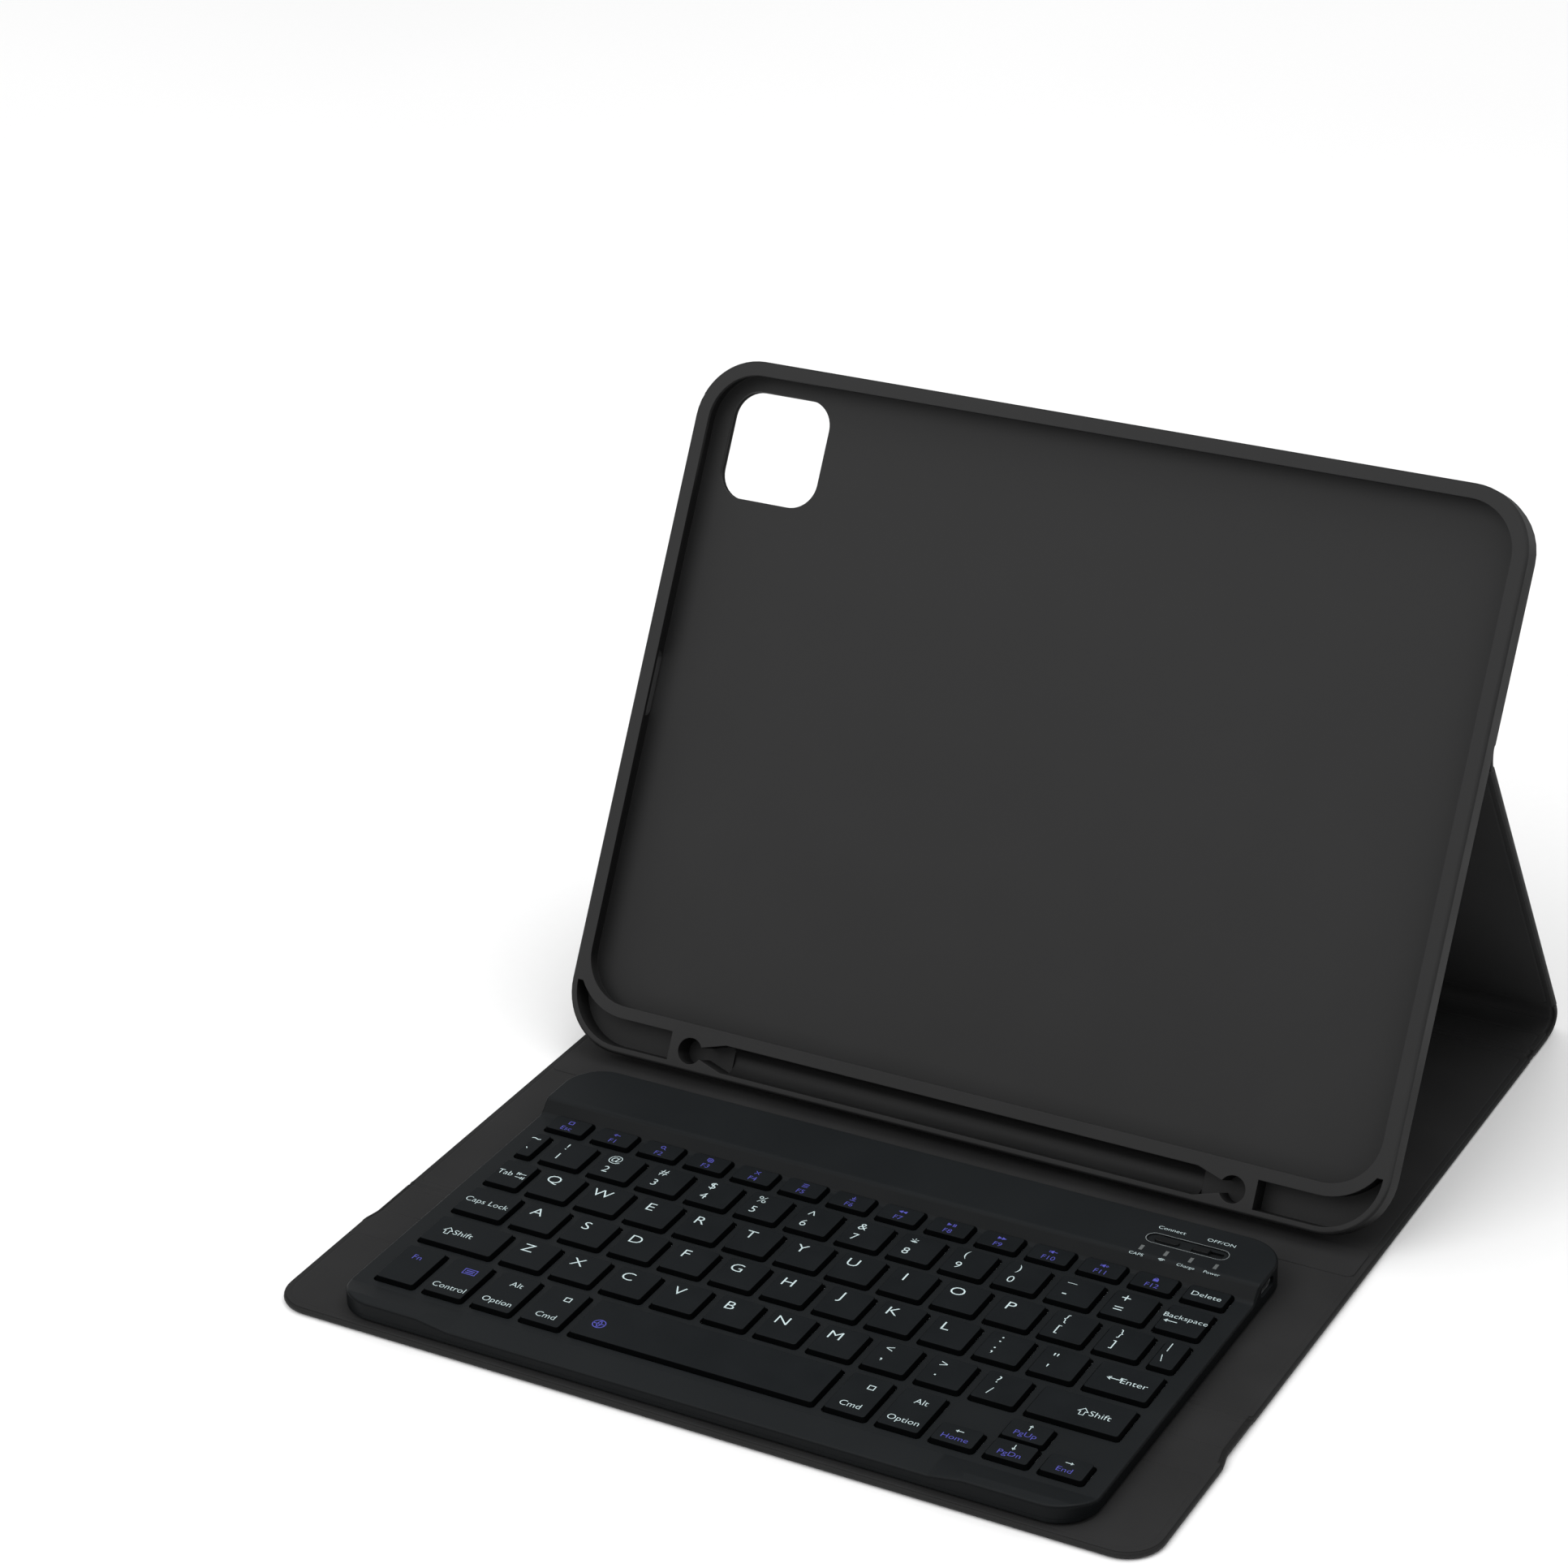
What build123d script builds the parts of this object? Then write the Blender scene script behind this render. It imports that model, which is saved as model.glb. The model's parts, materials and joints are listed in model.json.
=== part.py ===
from build123d import *
from math import atan, atan2, cos, degrees, hypot, radians, sin
import os

# Keyboard case for a 12.9 inch class tablet, standing open with its keyboard in front.
# Millimetres. X to the right, Y to the back, Z up. The origin is the centre of the flat
# base's underside, and the base's front edge is at -base_depth / 2.

# ---------------------------------------------------------------- driving dimensions
case_width = 286.0
flap_depth = 55.0
flap_spine_depth = 20.0
flap_board_depth = 43.0
cover_depth = 232.0
back_spine_depth = 20.0
base_depth = flap_depth + flap_spine_depth + cover_depth + back_spine_depth
flap_extra_width = 2.4
outer_corner_radius = 12.0
panel_corner_radius = 20.0

leather_thickness = 0.7
board_thickness = 1.1
lining_thickness = 0.6
laminate = leather_thickness + board_thickness + lining_thickness
board_margin = 2.2
crease_gap = 0.15
crease_half_width = 1.5
closure_magnet_thickness = 1.0
closure_magnet_places = (-74.0, 74.0)
closure_magnet_size = (40.0, 10.0)

stand_crease_width = 7.0
stand_crease_angle = 60.0
stand_crease_end = 1.0
tray_lean = 29.0
foot_from_front = 175.0
foot_clearance = 0.3
fold_height_on_tray = 152.0
adhesive_thickness = 0.3

tablet_width = 280.6
tablet_height = 214.9
tablet_thickness = 5.9
tablet_corner_radius = 18.0
tablet_clearance = 0.3
tray_width = 287.4
tray_height = 232.3
tray_thickness = 9.6
tray_back_wall = 1.4
tray_lip_thickness = 1.4
tray_lip_overhang = 1.6
tray_top_wall = 3.2
tray_corner_radius = 21.0
tray_foot_radius = 1.6
bar_wall = 2.4
bar_pocket_inner_end = 103.0
stylus_groove_radius = 4.6
stylus_groove_half_length = 83.0
stylus_hole_radius = 4.3
stylus_hole_centre = 95.4
stylus_neck_width = 3.6
camera_opening = 36.0
camera_from_corner = 6.0
port_slot_length = 22.0
port_slot_height = 5.2

keyboard_width = 246.6
keyboard_depth = 147.5
keyboard_from_front = 2.5
keyboard_corner_radius = 13.0
foot_pad_thickness = 0.5
bottom_case_height = 1.8
bottom_floor = 0.8
case_wall = 1.4
deck_height = 4.8
deck_thickness = 1.1
front_end_height = 6.1
front_edge_height = 4.3
front_flat_depth = 4.0
front_slope_depth = 11.0
battery_deck_height = 9.0
battery_deck_front = 119.6
battery_slope_depth = 4.4
notch_left = -82.0
notch_right = 76.0
notch_ramp = 11.0
deck_rounding = 3.0
edge_rounding = 0.9

key_block_width = 236.4
key_unit = 17.5
key_unit_small = key_block_width / 14
key_gap = 2.9
key_travel = 1.5
key_top_height = 6.2
key_skirt_bottom = 4.35
key_taper = 16.0
key_corner_radius = 1.4
key_top_rounding = 0.3
key_wall = 1.1
key_opening_clearance = 0.35
key_cut_drop = 1.6
holding_row = 123.0
screw_x = 119.6

# Distances of the key rows' centres from the keyboard's front edge, front row first.
row_centre = [24.1, 45.3, 64.1, 82.3, 100.35, 115.5]
row_depth = [20.2, 15.2, 15.2, 15.2, 14.8, 9.0]

# ---------------------------------------------------------------- derived places
front_y = -base_depth / 2
flap_line = front_y + flap_depth
flap_spine_line = flap_line + flap_spine_depth
back_spine_line = flap_spine_line + cover_depth
stand_crease_line = back_spine_line + back_spine_depth - stand_crease_end
foot_y = front_y + foot_from_front
foot_z = laminate + foot_clearance
keyboard_y = front_y + keyboard_from_front
keyboard_z = laminate + foot_pad_thickness


def panel_plane(y, z, angle):
    """A plane across the case at (y, z), rising at this angle, with its lining side as +Z."""
    normal = (0, -sin(radians(angle)), cos(radians(angle)))
    return Plane(origin=(0, y, z), x_dir=(1, 0, 0), z_dir=normal)


tray_angle = 90.0 - tray_lean
tray_plane = panel_plane(foot_y, foot_z, tray_angle)
upper_panel_plane = tray_plane.offset(-adhesive_thickness)
fold_point = upper_panel_plane.offset(-laminate).from_local_coords((0, fold_height_on_tray, 0))

crease_plane = panel_plane(stand_crease_line, laminate, stand_crease_angle)
stand_foot_point = crease_plane.from_local_coords((0, stand_crease_width, 0))
rise_y = fold_point.Y - stand_foot_point.Y
rise_z = fold_point.Z - stand_foot_point.Z
stand_length = (hypot(rise_y, rise_z) ** 2 - laminate**2) ** 0.5
stand_angle = degrees(atan2(rise_z, rise_y) + atan(laminate / stand_length))
stand_plane = panel_plane(stand_foot_point.Y, stand_foot_point.Z, stand_angle)

upper_panel_length = tray_height - fold_height_on_tray - 0.8
camera_centre_x = -(tablet_width - camera_opening) / 2 + camera_from_corner
tablet_centre = tray_height - tray_top_wall - tablet_height / 2
camera_centre_y = tablet_centre + (tablet_height - camera_opening) / 2 - camera_from_corner
bar_centre = (tray_height - tray_top_wall - tablet_height - tablet_clearance) / 2

os.makedirs("parts", exist_ok=True)


def save(part, name):
    """Label a finished piece and write it out."""
    part.label = name
    export_step(part, f"parts/{name}.step")


# ---------------------------------------------------------------- folio laminate


def sheet(plane, bottom, thickness, width, start, end, start_radius, end_radius):
    """One layer between two distances along a panel, with its own corner radii."""
    with BuildPart() as layer:
        with BuildSketch(plane.offset(bottom)):
            with Locations((0, (start + end) / 2)):
                Rectangle(width, end - start)
            if start_radius:
                fillet(vertices().group_by(Axis.Y)[0], start_radius)
            if end_radius:
                fillet(vertices().group_by(Axis.Y)[-1], end_radius)
        extrude(amount=thickness)
    return layer.part


def laminate_panel(plane, start, end, width, start_radius=0.0, end_radius=0.0, soft_end=0.0):
    """Leather, board and lining of one panel that lies between two crease lines."""
    low = start if start_radius else start + crease_gap
    high = end if end_radius else end - crease_gap
    radii = (start_radius, end_radius)
    leather = sheet(plane, -laminate, leather_thickness, width, low, high, *radii)
    lining = sheet(plane, -lining_thickness, lining_thickness, width, low, high, *radii)
    board_start = start + (board_margin if start_radius else crease_half_width)
    board_end = end - max(board_margin if end_radius else crease_half_width, soft_end)
    board_radii = [max(radius - board_margin, 0) for radius in radii]
    board = sheet(
        plane,
        -lining_thickness - board_thickness,
        board_thickness,
        width - 2 * board_margin,
        board_start,
        board_end,
        *board_radii,
    )
    return leather, board, lining


def magnet_bars(plane, centres, length, depth):
    """A row of flat magnets let into a board."""
    with BuildPart() as bars:
        with BuildSketch(plane.offset(-lining_thickness - board_thickness)):
            with Locations(*centres):
                Rectangle(length, depth)
        extrude(amount=closure_magnet_thickness)
    return bars.part


def with_pockets(board, pocket_bars, clearance=0.05):
    """A board with a window cut through it for each magnet."""
    with BuildPart() as cut_board:
        add(board)
        for bar in pocket_bars.solids():
            add(offset(bar, clearance, mode=Mode.PRIVATE), mode=Mode.SUBTRACT)
    return cut_board.part


base_plane = panel_plane(0, laminate, 0)

# Front cover, which lies on the table and holds the keyboard and the tray's foot.
leather, board, lining = laminate_panel(
    base_plane, flap_spine_line, back_spine_line, case_width
)
holding_places = [(x, keyboard_y + holding_row) for x in (-90, -30, 30, 90)]
holding_magnets = magnet_bars(base_plane, holding_places, 30, 4)
save(leather, "front_cover_leather")
save(with_pockets(board, holding_magnets), "front_cover_board")
save(lining, "front_cover_lining")
save(holding_magnets, "keyboard_holding_magnets")

# Soft band between the front cover and the closing flap: it has no board, so it can wrap
# around the closed case.
leather, board, lining = laminate_panel(base_plane, flap_line, flap_spine_line, case_width)
save(leather, "flap_spine_leather")
save(lining, "flap_spine_lining")

# Closing flap with its rounded outer corners and two closure magnets. Its board stops short
# of the fold.
leather, board, lining = laminate_panel(
    base_plane,
    front_y,
    flap_line,
    case_width + flap_extra_width,
    start_radius=outer_corner_radius,
    soft_end=flap_depth - flap_board_depth,
)
flap_centres = [(x, front_y + 16) for x in closure_magnet_places]
flap_magnets = magnet_bars(base_plane, flap_centres, *closure_magnet_size)
save(leather, "closing_flap_leather")
save(with_pockets(board, flap_magnets), "closing_flap_board")
save(lining, "closing_flap_lining")
save(flap_magnets, "closing_flap_magnets")

# Back spine, flat on the table behind the front cover.
leather, board, lining = laminate_panel(
    base_plane, back_spine_line, stand_crease_line, case_width
)
save(leather, "back_spine_leather")
save(board, "back_spine_board")
save(lining, "back_spine_lining")

# Soft crease between the spine and the stand panel: leather and lining with no board.
stand_crease = sheet(
    crease_plane,
    -laminate,
    laminate,
    case_width,
    crease_gap,
    stand_crease_width - crease_gap,
    0,
    0,
)
save(stand_crease, "stand_crease")

# Stand panel, from the crease up to the fold behind the tray.
leather, board, lining = laminate_panel(stand_plane, 0, stand_length, case_width)
save(leather, "stand_panel_leather")
save(board, "stand_panel_board")
save(lining, "stand_panel_lining")

# Upper panel, glued to the back of the tray, with the camera opening through it.
upper_end = fold_height_on_tray + upper_panel_length
upper_sheets = laminate_panel(
    upper_panel_plane,
    fold_height_on_tray,
    upper_end,
    case_width,
    end_radius=panel_corner_radius,
)
with BuildPart() as adhesive:
    with BuildSketch(upper_panel_plane):
        with Locations((0, (fold_height_on_tray + upper_end) / 2)):
            Rectangle(case_width - 24, upper_panel_length - 16)
    extrude(amount=adhesive_thickness)


def with_camera_opening(part, margin):
    """The part with the rounded camera opening cut through it."""
    with BuildPart() as opened:
        add(part)
        with BuildSketch(tray_plane.offset(-laminate - 1)):
            with Locations((camera_centre_x, camera_centre_y)):
                RectangleRounded(camera_opening + margin, camera_opening + margin, 9)
        extrude(amount=laminate + tray_back_wall + 2, mode=Mode.SUBTRACT)
    return opened.part


leather, board, lining = upper_sheets
latch_centres = [(x, upper_end - 14) for x in closure_magnet_places]
latch_magnets = magnet_bars(upper_panel_plane, latch_centres, *closure_magnet_size)
save(with_camera_opening(leather, 0), "upper_panel_leather")
save(with_camera_opening(with_pockets(board, latch_magnets), 3), "upper_panel_board")
save(with_camera_opening(lining, 0), "upper_panel_lining")
save(latch_magnets, "upper_panel_magnets")
save(with_camera_opening(adhesive.part, 3), "tray_adhesive")

# ---------------------------------------------------------------- tablet tray
# Soft moulded tray: back wall, rim with an inward lip, and a thick lower bar that
# holds the stylus groove between two hollow corner pockets.


def tablet_outline(grow):
    """The tablet's outline in the tray, grown on every side."""
    with Locations((0, tablet_centre)):
        RectangleRounded(
            tablet_width + 2 * grow,
            tablet_height + 2 * grow,
            tablet_corner_radius + grow,
        )


with BuildPart() as tray:
    with BuildSketch(tray_plane):
        with Locations((0, tray_height / 2)):
            RectangleRounded(tray_width, tray_height, tray_corner_radius)
    extrude(amount=tray_thickness)
    fillet(tray.faces().sort_by(Axis((0, 0, 0), tray_plane.z_dir))[-1].edges(), 1.2)
    fillet(tray.faces().sort_by(Axis((0, 0, 0), tray_plane.z_dir))[0].edges(), tray_foot_radius)
    # Bed for the tablet, then the narrower window through the lip.
    with BuildSketch(tray_plane.offset(tray_back_wall)):
        tablet_outline(tablet_clearance)
    bed_depth = tray_thickness - tray_back_wall - tray_lip_thickness
    extrude(amount=bed_depth, mode=Mode.SUBTRACT)
    with BuildSketch(tray_plane.offset(tray_back_wall)):
        tablet_outline(-tray_lip_overhang)
    extrude(amount=tray_thickness, mode=Mode.SUBTRACT)
    # Hollow pockets beside the groove, following the tablet's corner and the outer corner.
    with BuildSketch(tray_plane.offset(tray_back_wall)):
        with Locations((0, tray_height / 2)):
            RectangleRounded(
                tray_width - 2 * bar_wall,
                tray_height - 2 * bar_wall,
                tray_corner_radius - bar_wall,
            )
        with Locations((0, tablet_centre)):
            RectangleRounded(
                tablet_width + 2 * bar_wall,
                tablet_height + 2 * bar_wall,
                tablet_corner_radius + bar_wall,
                mode=Mode.SUBTRACT,
            )
        with Locations((0, bar_centre)):
            Rectangle(2 * bar_pocket_inner_end, tray_height, mode=Mode.SUBTRACT)
        with Locations((0, tray_height / 2 + 21)):
            Rectangle(tray_width, tray_height, mode=Mode.SUBTRACT)
    extrude(amount=tray_thickness, mode=Mode.SUBTRACT)
    # Stylus groove: a round-bottomed channel with a finger hole past each end. A flared
    # neck joins each hole to the channel.
    groove_axis = tray_plane.offset(tray_thickness - stylus_groove_radius)
    with BuildSketch(groove_axis):
        with Locations((0, bar_centre)):
            Rectangle(2 * stylus_groove_half_length, 2 * stylus_groove_radius)
    extrude(amount=stylus_groove_radius, mode=Mode.SUBTRACT)
    groove_start = groove_axis.from_local_coords((-stylus_groove_half_length, bar_centre, 0))
    with BuildSketch(Plane(origin=groove_start, x_dir=(0, 1, 0), z_dir=(1, 0, 0))):
        Circle(stylus_groove_radius)
    extrude(amount=2 * stylus_groove_half_length, mode=Mode.SUBTRACT)
    with BuildSketch(tray_plane.offset(tray_back_wall)):
        with Locations((-stylus_hole_centre, bar_centre), (stylus_hole_centre, bar_centre)):
            Circle(stylus_hole_radius)
        for side in (-1, 1):
            neck_x = side * (stylus_hole_centre - stylus_hole_radius + 1)
            with BuildLine():
                Polyline(
                    (neck_x, bar_centre + stylus_neck_width / 2),
                    (side * stylus_groove_half_length, bar_centre + stylus_groove_radius),
                    (side * stylus_groove_half_length, bar_centre - stylus_groove_radius),
                    (neck_x, bar_centre - stylus_neck_width / 2),
                    close=True,
                )
            make_face()
    extrude(amount=tray_thickness, mode=Mode.SUBTRACT)
    # Charging-port slot through the left side wall and the camera opening in the back.
    port_plane = Plane(
        origin=tray_plane.from_local_coords(
            (-tray_width / 2 - 1, tablet_centre, tray_back_wall + tablet_thickness / 2)
        ),
        x_dir=(0, sin(radians(tray_lean)), cos(radians(tray_lean))),
        z_dir=(1, 0, 0),
    )
    with BuildSketch(port_plane):
        SlotOverall(port_slot_length, port_slot_height)
    extrude(amount=8, mode=Mode.SUBTRACT)
save(with_camera_opening(tray.part, 0), "tablet_tray")

# ---------------------------------------------------------------- keyboard layout


def key_row(row, widths):
    """Centres and sizes of a row's caps, left to right, from the space each one takes."""
    keys = []
    edge = -key_block_width / 2
    for width in widths:
        centre = (edge + width / 2, row_centre[row] + keyboard_y)
        keys.append((centre, (width - key_gap, row_depth[row])))
        edge += width
    return keys


small = key_unit_small
bottom_row = key_row(0, [small] * 4 + [5 * small] + [small] * 5)
lower_row = key_row(1, [28.9] + [key_unit] * 10 + [key_block_width - 28.9 - 10 * key_unit])
middle_row = key_row(2, [20.6] + [key_unit] * 11 + [key_block_width - 20.6 - 11 * key_unit])
upper_row = key_row(3, [15.2] + [key_unit] * 12 + [key_block_width - 15.2 - 12 * key_unit])
number_row = key_row(4, [key_unit / 2] + [key_unit] * 13)
function_row = key_row(5, [small] * 14)


def half_key(key, upper):
    """The upper or the lower half of a cap's space, with a thin gap between halves."""
    (x, y), (width, depth) = key
    half_depth = (depth - 0.6) / 2
    shift = (depth - half_depth) / 2
    return ((x, y + shift if upper else y - shift), (width, half_depth))


keys = {
    "space_key": [bottom_row[4]],
    "fn_key": [bottom_row[0]],
    "left_modifier_keys": bottom_row[1:4],
    "right_modifier_keys": bottom_row[5:7],
    "home_key": [half_key(bottom_row[7], False)],
    "page_up_key": [half_key(bottom_row[8], True)],
    "page_down_key": [half_key(bottom_row[8], False)],
    "end_key": [half_key(bottom_row[9], False)],
    "left_shift_key": [lower_row[0]],
    "lower_letter_keys": lower_row[1:11],
    "right_shift_key": [lower_row[11]],
    "caps_lock_key": [middle_row[0]],
    "middle_letter_keys": middle_row[1:12],
    "enter_key": [middle_row[12]],
    "tab_key": [upper_row[0]],
    "upper_letter_keys": upper_row[1:],
    "number_row_keys": number_row[:13],
    "backspace_key": [number_row[13]],
    "esc_key": [function_row[0]],
    "function_keys": function_row[1:13],
    "delete_key": [function_row[13]],
}
all_keys = [key for group in keys.values() for key in group]


def key_sketch(plane, places, grow, radius):
    """Rounded rectangles over the given keys, grown by the same amount on each side."""
    with BuildSketch(plane) as outline:
        for centre, (width, depth) in places:
            with Locations(centre):
                RectangleRounded(width + 2 * grow, depth + 2 * grow, radius)
    return outline.sketch


for name, places in keys.items():
    with BuildPart() as caps:
        skirt_plane = Plane.XY.offset(keyboard_z + key_skirt_bottom)
        add(key_sketch(skirt_plane, places, 0, key_corner_radius))
        extrude(amount=key_top_height - key_skirt_bottom, taper=key_taper)
        fillet(caps.faces().filter_by(Axis.Z).group_by(Axis.Z)[-1].edges(), key_top_rounding)
        add(key_sketch(skirt_plane, places, -key_wall, 0.6))
        extrude(amount=key_top_height - key_skirt_bottom - key_wall, mode=Mode.SUBTRACT)
        with BuildSketch(skirt_plane):
            with Locations(*[centre for centre, size in places]):
                Circle(1.6)
        extrude(amount=key_top_height - key_skirt_bottom - key_wall / 2)
    save(caps.part, name)

# ---------------------------------------------------------------- keyboard case
keyboard_centre = (0, keyboard_y + keyboard_depth / 2)
outline_size = (keyboard_width, keyboard_depth)


def keyboard_column(bottom, top, inset):
    """The keyboard's rounded outline as a column, pulled in from every side."""
    with BuildPart() as column:
        with BuildSketch(Plane.XY.offset(keyboard_z + bottom)):
            with Locations(keyboard_centre):
                RectangleRounded(
                    keyboard_width - 2 * inset,
                    keyboard_depth - 2 * inset,
                    keyboard_corner_radius - inset,
                )
        extrude(amount=top - bottom)
    return column.part


def side_section(station, front_height, skin=0.0):
    """The deck's side profile at one station, or the profile of its inside when skin is above 0."""
    rear_height = battery_deck_height - skin
    front = keyboard_y - 1
    rear = keyboard_y + keyboard_depth + 1
    slope_start = keyboard_y + battery_deck_front + skin / 2
    flat_front = keyboard_y + front_flat_depth
    slope_foot = keyboard_y + front_slope_depth
    with BuildSketch(Plane.YZ.offset(station)) as section:
        with BuildLine():
            Polyline(
                (front, keyboard_z + bottom_case_height),
                (front, keyboard_z + front_height - skin),
                (flat_front, keyboard_z + front_height - skin),
                (slope_foot, keyboard_z + deck_height - skin),
                (slope_start, keyboard_z + deck_height - skin),
                (slope_start + battery_slope_depth, keyboard_z + rear_height),
                (rear, keyboard_z + rear_height),
                (rear, keyboard_z + bottom_case_height),
                close=True,
            )
        make_face()
        inner_points = [v for v in vertices() if front < v.X < rear]
        fillet(inner_points, deck_rounding)
    return section.sketch


def on_outline(point):
    """Whether a point lies on the keyboard's outer wall."""
    corner_x = keyboard_width / 2 - keyboard_corner_radius
    corner_y = keyboard_depth / 2 - keyboard_corner_radius
    out_x = abs(point.X - keyboard_centre[0]) - corner_x
    out_y = abs(point.Y - keyboard_centre[1]) - corner_y
    if min(out_x, out_y) > 0:
        reach = hypot(out_x, out_y)
    else:
        reach = max(out_x, out_y)
    return abs(reach - keyboard_corner_radius) < 0.01


half_width = keyboard_width / 2 + 1
front_start = keyboard_y - 1
slope_foot_y = keyboard_y + front_slope_depth
control_centre = (95.4, keyboard_y + 134.0)
control_length = 26.0
control_depth = 5.2
control_recess_depth = 0.5
switch_slot = (10.0, 2.6)
switch_slot_centre = (control_centre[0] + 6.6, control_centre[1])
button_hole = (8.0, 2.6)
button_centre = (control_centre[0] - 6.6, control_centre[1])
light_y = keyboard_y + 127.4
light_places = [(control_centre[0] - 12.05 + 8.03 * i, light_y) for i in range(4)]
light_size = (1.2, 2.8)
socket_y = keyboard_y + keyboard_depth - 18.4
socket_z = keyboard_z + 5.7

with BuildPart() as inside:
    extrude(side_section(-half_width, front_edge_height, deck_thickness), amount=2 * half_width)
    add(keyboard_column(bottom_case_height, battery_deck_height, case_wall), mode=Mode.INTERSECT)

with BuildPart() as top_case:
    # The deck, raised along its front edge.
    extrude(side_section(-half_width, front_end_height), amount=2 * half_width)
    add(keyboard_column(bottom_case_height, battery_deck_height + 1, 0), mode=Mode.INTERSECT)
    # The raised edge is cut low between its two ends, with a ramp down at each side.
    with BuildSketch(Plane(origin=(0, front_start, 0), x_dir=(1, 0, 0), z_dir=(0, -1, 0))):
        with BuildLine():
            Polyline(
                (notch_left - notch_ramp, keyboard_z + front_end_height + 1),
                (notch_left - notch_ramp, keyboard_z + front_end_height),
                (notch_left, keyboard_z + front_edge_height),
                (notch_right, keyboard_z + front_edge_height),
                (notch_right + notch_ramp, keyboard_z + front_end_height),
                (notch_right + notch_ramp, keyboard_z + front_end_height + 1),
                close=True,
            )
        make_face()
        floor_points = [v for v in vertices() if v.Y < keyboard_z + front_edge_height + 0.01]
        fillet(floor_points, 2 * deck_rounding)
    cut_rise = (deck_height - front_edge_height) / (slope_foot_y - front_start)
    extrude(amount=slope_foot_y - front_start, dir=(0, 1, cut_rise), mode=Mode.SUBTRACT)
    outline_edges = [
        edge
        for edge in top_case.edges()
        if edge.center().Z > keyboard_z + front_edge_height - 1
        and on_outline(edge @ 0)
        and on_outline(edge @ 0.5)
        and on_outline(edge @ 1)
        and abs((edge @ 0).Z - (edge @ 1).Z) < 5
    ]
    fillet(outline_edges, edge_rounding)
    # Hollow inside, open below.
    add(inside.part, mode=Mode.SUBTRACT)
    # One opening for each key.
    opening_plane = Plane.XY.offset(keyboard_z + deck_height - key_cut_drop)
    add(key_sketch(opening_plane, all_keys, key_opening_clearance, key_corner_radius))
    extrude(amount=key_cut_drop + 2, mode=Mode.SUBTRACT)
    # Recess for the switch and the button, with their openings through it.
    with BuildSketch(Plane.XY.offset(keyboard_z + battery_deck_height - control_recess_depth)):
        with Locations(control_centre):
            SlotOverall(control_length, control_depth)
    extrude(amount=1, mode=Mode.SUBTRACT)
    with BuildSketch(Plane.XY.offset(keyboard_z + battery_deck_height - 3)):
        with Locations(switch_slot_centre):
            Rectangle(*switch_slot)
        with Locations(button_centre):
            SlotOverall(*button_hole)
        with Locations(*light_places):
            Rectangle(*light_size)
    extrude(amount=4, mode=Mode.SUBTRACT)
    # Charging opening in the right side wall.
    with BuildSketch(Plane.YZ.offset(keyboard_width / 2 - 3)):
        with Locations((socket_y, socket_z)):
            SlotOverall(9.4, 3.6)
    extrude(amount=6, mode=Mode.SUBTRACT)
save(top_case.part, "keyboard_top_case")

with BuildPart() as bottom_case:
    add(keyboard_column(0, bottom_case_height, 0))
    chamfer(bottom_case.faces().sort_by(Axis.Z)[0].edges(), 0.6)
    add(keyboard_column(bottom_floor, bottom_case_height, case_wall), mode=Mode.SUBTRACT)
save(bottom_case.part, "keyboard_bottom_case")

pad_places = [(x, keyboard_y + y) for x in (-108, 108) for y in (16, keyboard_depth - 12)]
with BuildPart() as feet:
    with BuildSketch(Plane.XY.offset(laminate)):
        with Locations(*pad_places):
            SlotOverall(14, 5)
    extrude(amount=foot_pad_thickness)
save(feet.part, "keyboard_feet")

# ---------------------------------------------------------------- inside the keyboard
plate_bottom = keyboard_z + bottom_floor + 0.1
plate_thickness = 0.4
membrane_thickness = 0.3
membrane_top = plate_bottom + plate_thickness + membrane_thickness
key_field_depth = battery_deck_front - 10
key_field_centre = (0, keyboard_y + 11 + key_field_depth / 2)
key_field_width = 2 * (screw_x - 2.2)


def flat_layer(bottom, thickness, width, depth, centre):
    """A plain flat layer, such as a steel plate or a printed circuit."""
    with BuildPart() as layer:
        with BuildSketch(Plane.XY.offset(bottom)):
            with Locations(centre):
                RectangleRounded(width, depth, 1.5)
        extrude(amount=thickness)
    return layer.part


field = (key_field_width, key_field_depth, key_field_centre)
save(flat_layer(plate_bottom, plate_thickness, *field), "key_support_plate")
membrane_bottom = plate_bottom + plate_thickness
save(flat_layer(membrane_bottom, membrane_thickness, *field), "circuit_membrane")

# One silicone sheet with a dome under each key, at the height a dome has when pressed.
sheet_thickness = 0.15
dome_top = keyboard_z + key_skirt_bottom - key_travel - 0.05
with BuildPart() as domes:
    add(flat_layer(membrane_top, sheet_thickness, *field))
    with BuildSketch(Plane.XY.offset(membrane_top)):
        with Locations(*[centre for centre, size in all_keys]):
            Circle(1.9)
    extrude(amount=dome_top - membrane_top, taper=20)
save(domes.part, "rubber_dome_sheet")

# A scissor frame, folded flat around each dome.
link_bottom = membrane_top + sheet_thickness + 0.1
link_height = 0.5
with BuildPart() as links:
    with BuildSketch(Plane.XY.offset(link_bottom)):
        for centre, (width, depth) in all_keys:
            with Locations(centre):
                Rectangle(8.0, min(depth - 2.6, 9.0))
                Rectangle(5.2, 4.4, mode=Mode.SUBTRACT)
    extrude(amount=link_height)
save(links.part, "scissor_links")

battery_bottom = keyboard_z + bottom_floor + 0.3
battery_y = keyboard_y + keyboard_depth - 12.5
save(flat_layer(battery_bottom, 4.6, 110, 18, (-40, battery_y)), "battery")
board_y = battery_y + 1.0
board_bottom = keyboard_z + 3.2
save(flat_layer(board_bottom, 0.8, 49, 17, (83.5, board_y)), "control_board")

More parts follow.
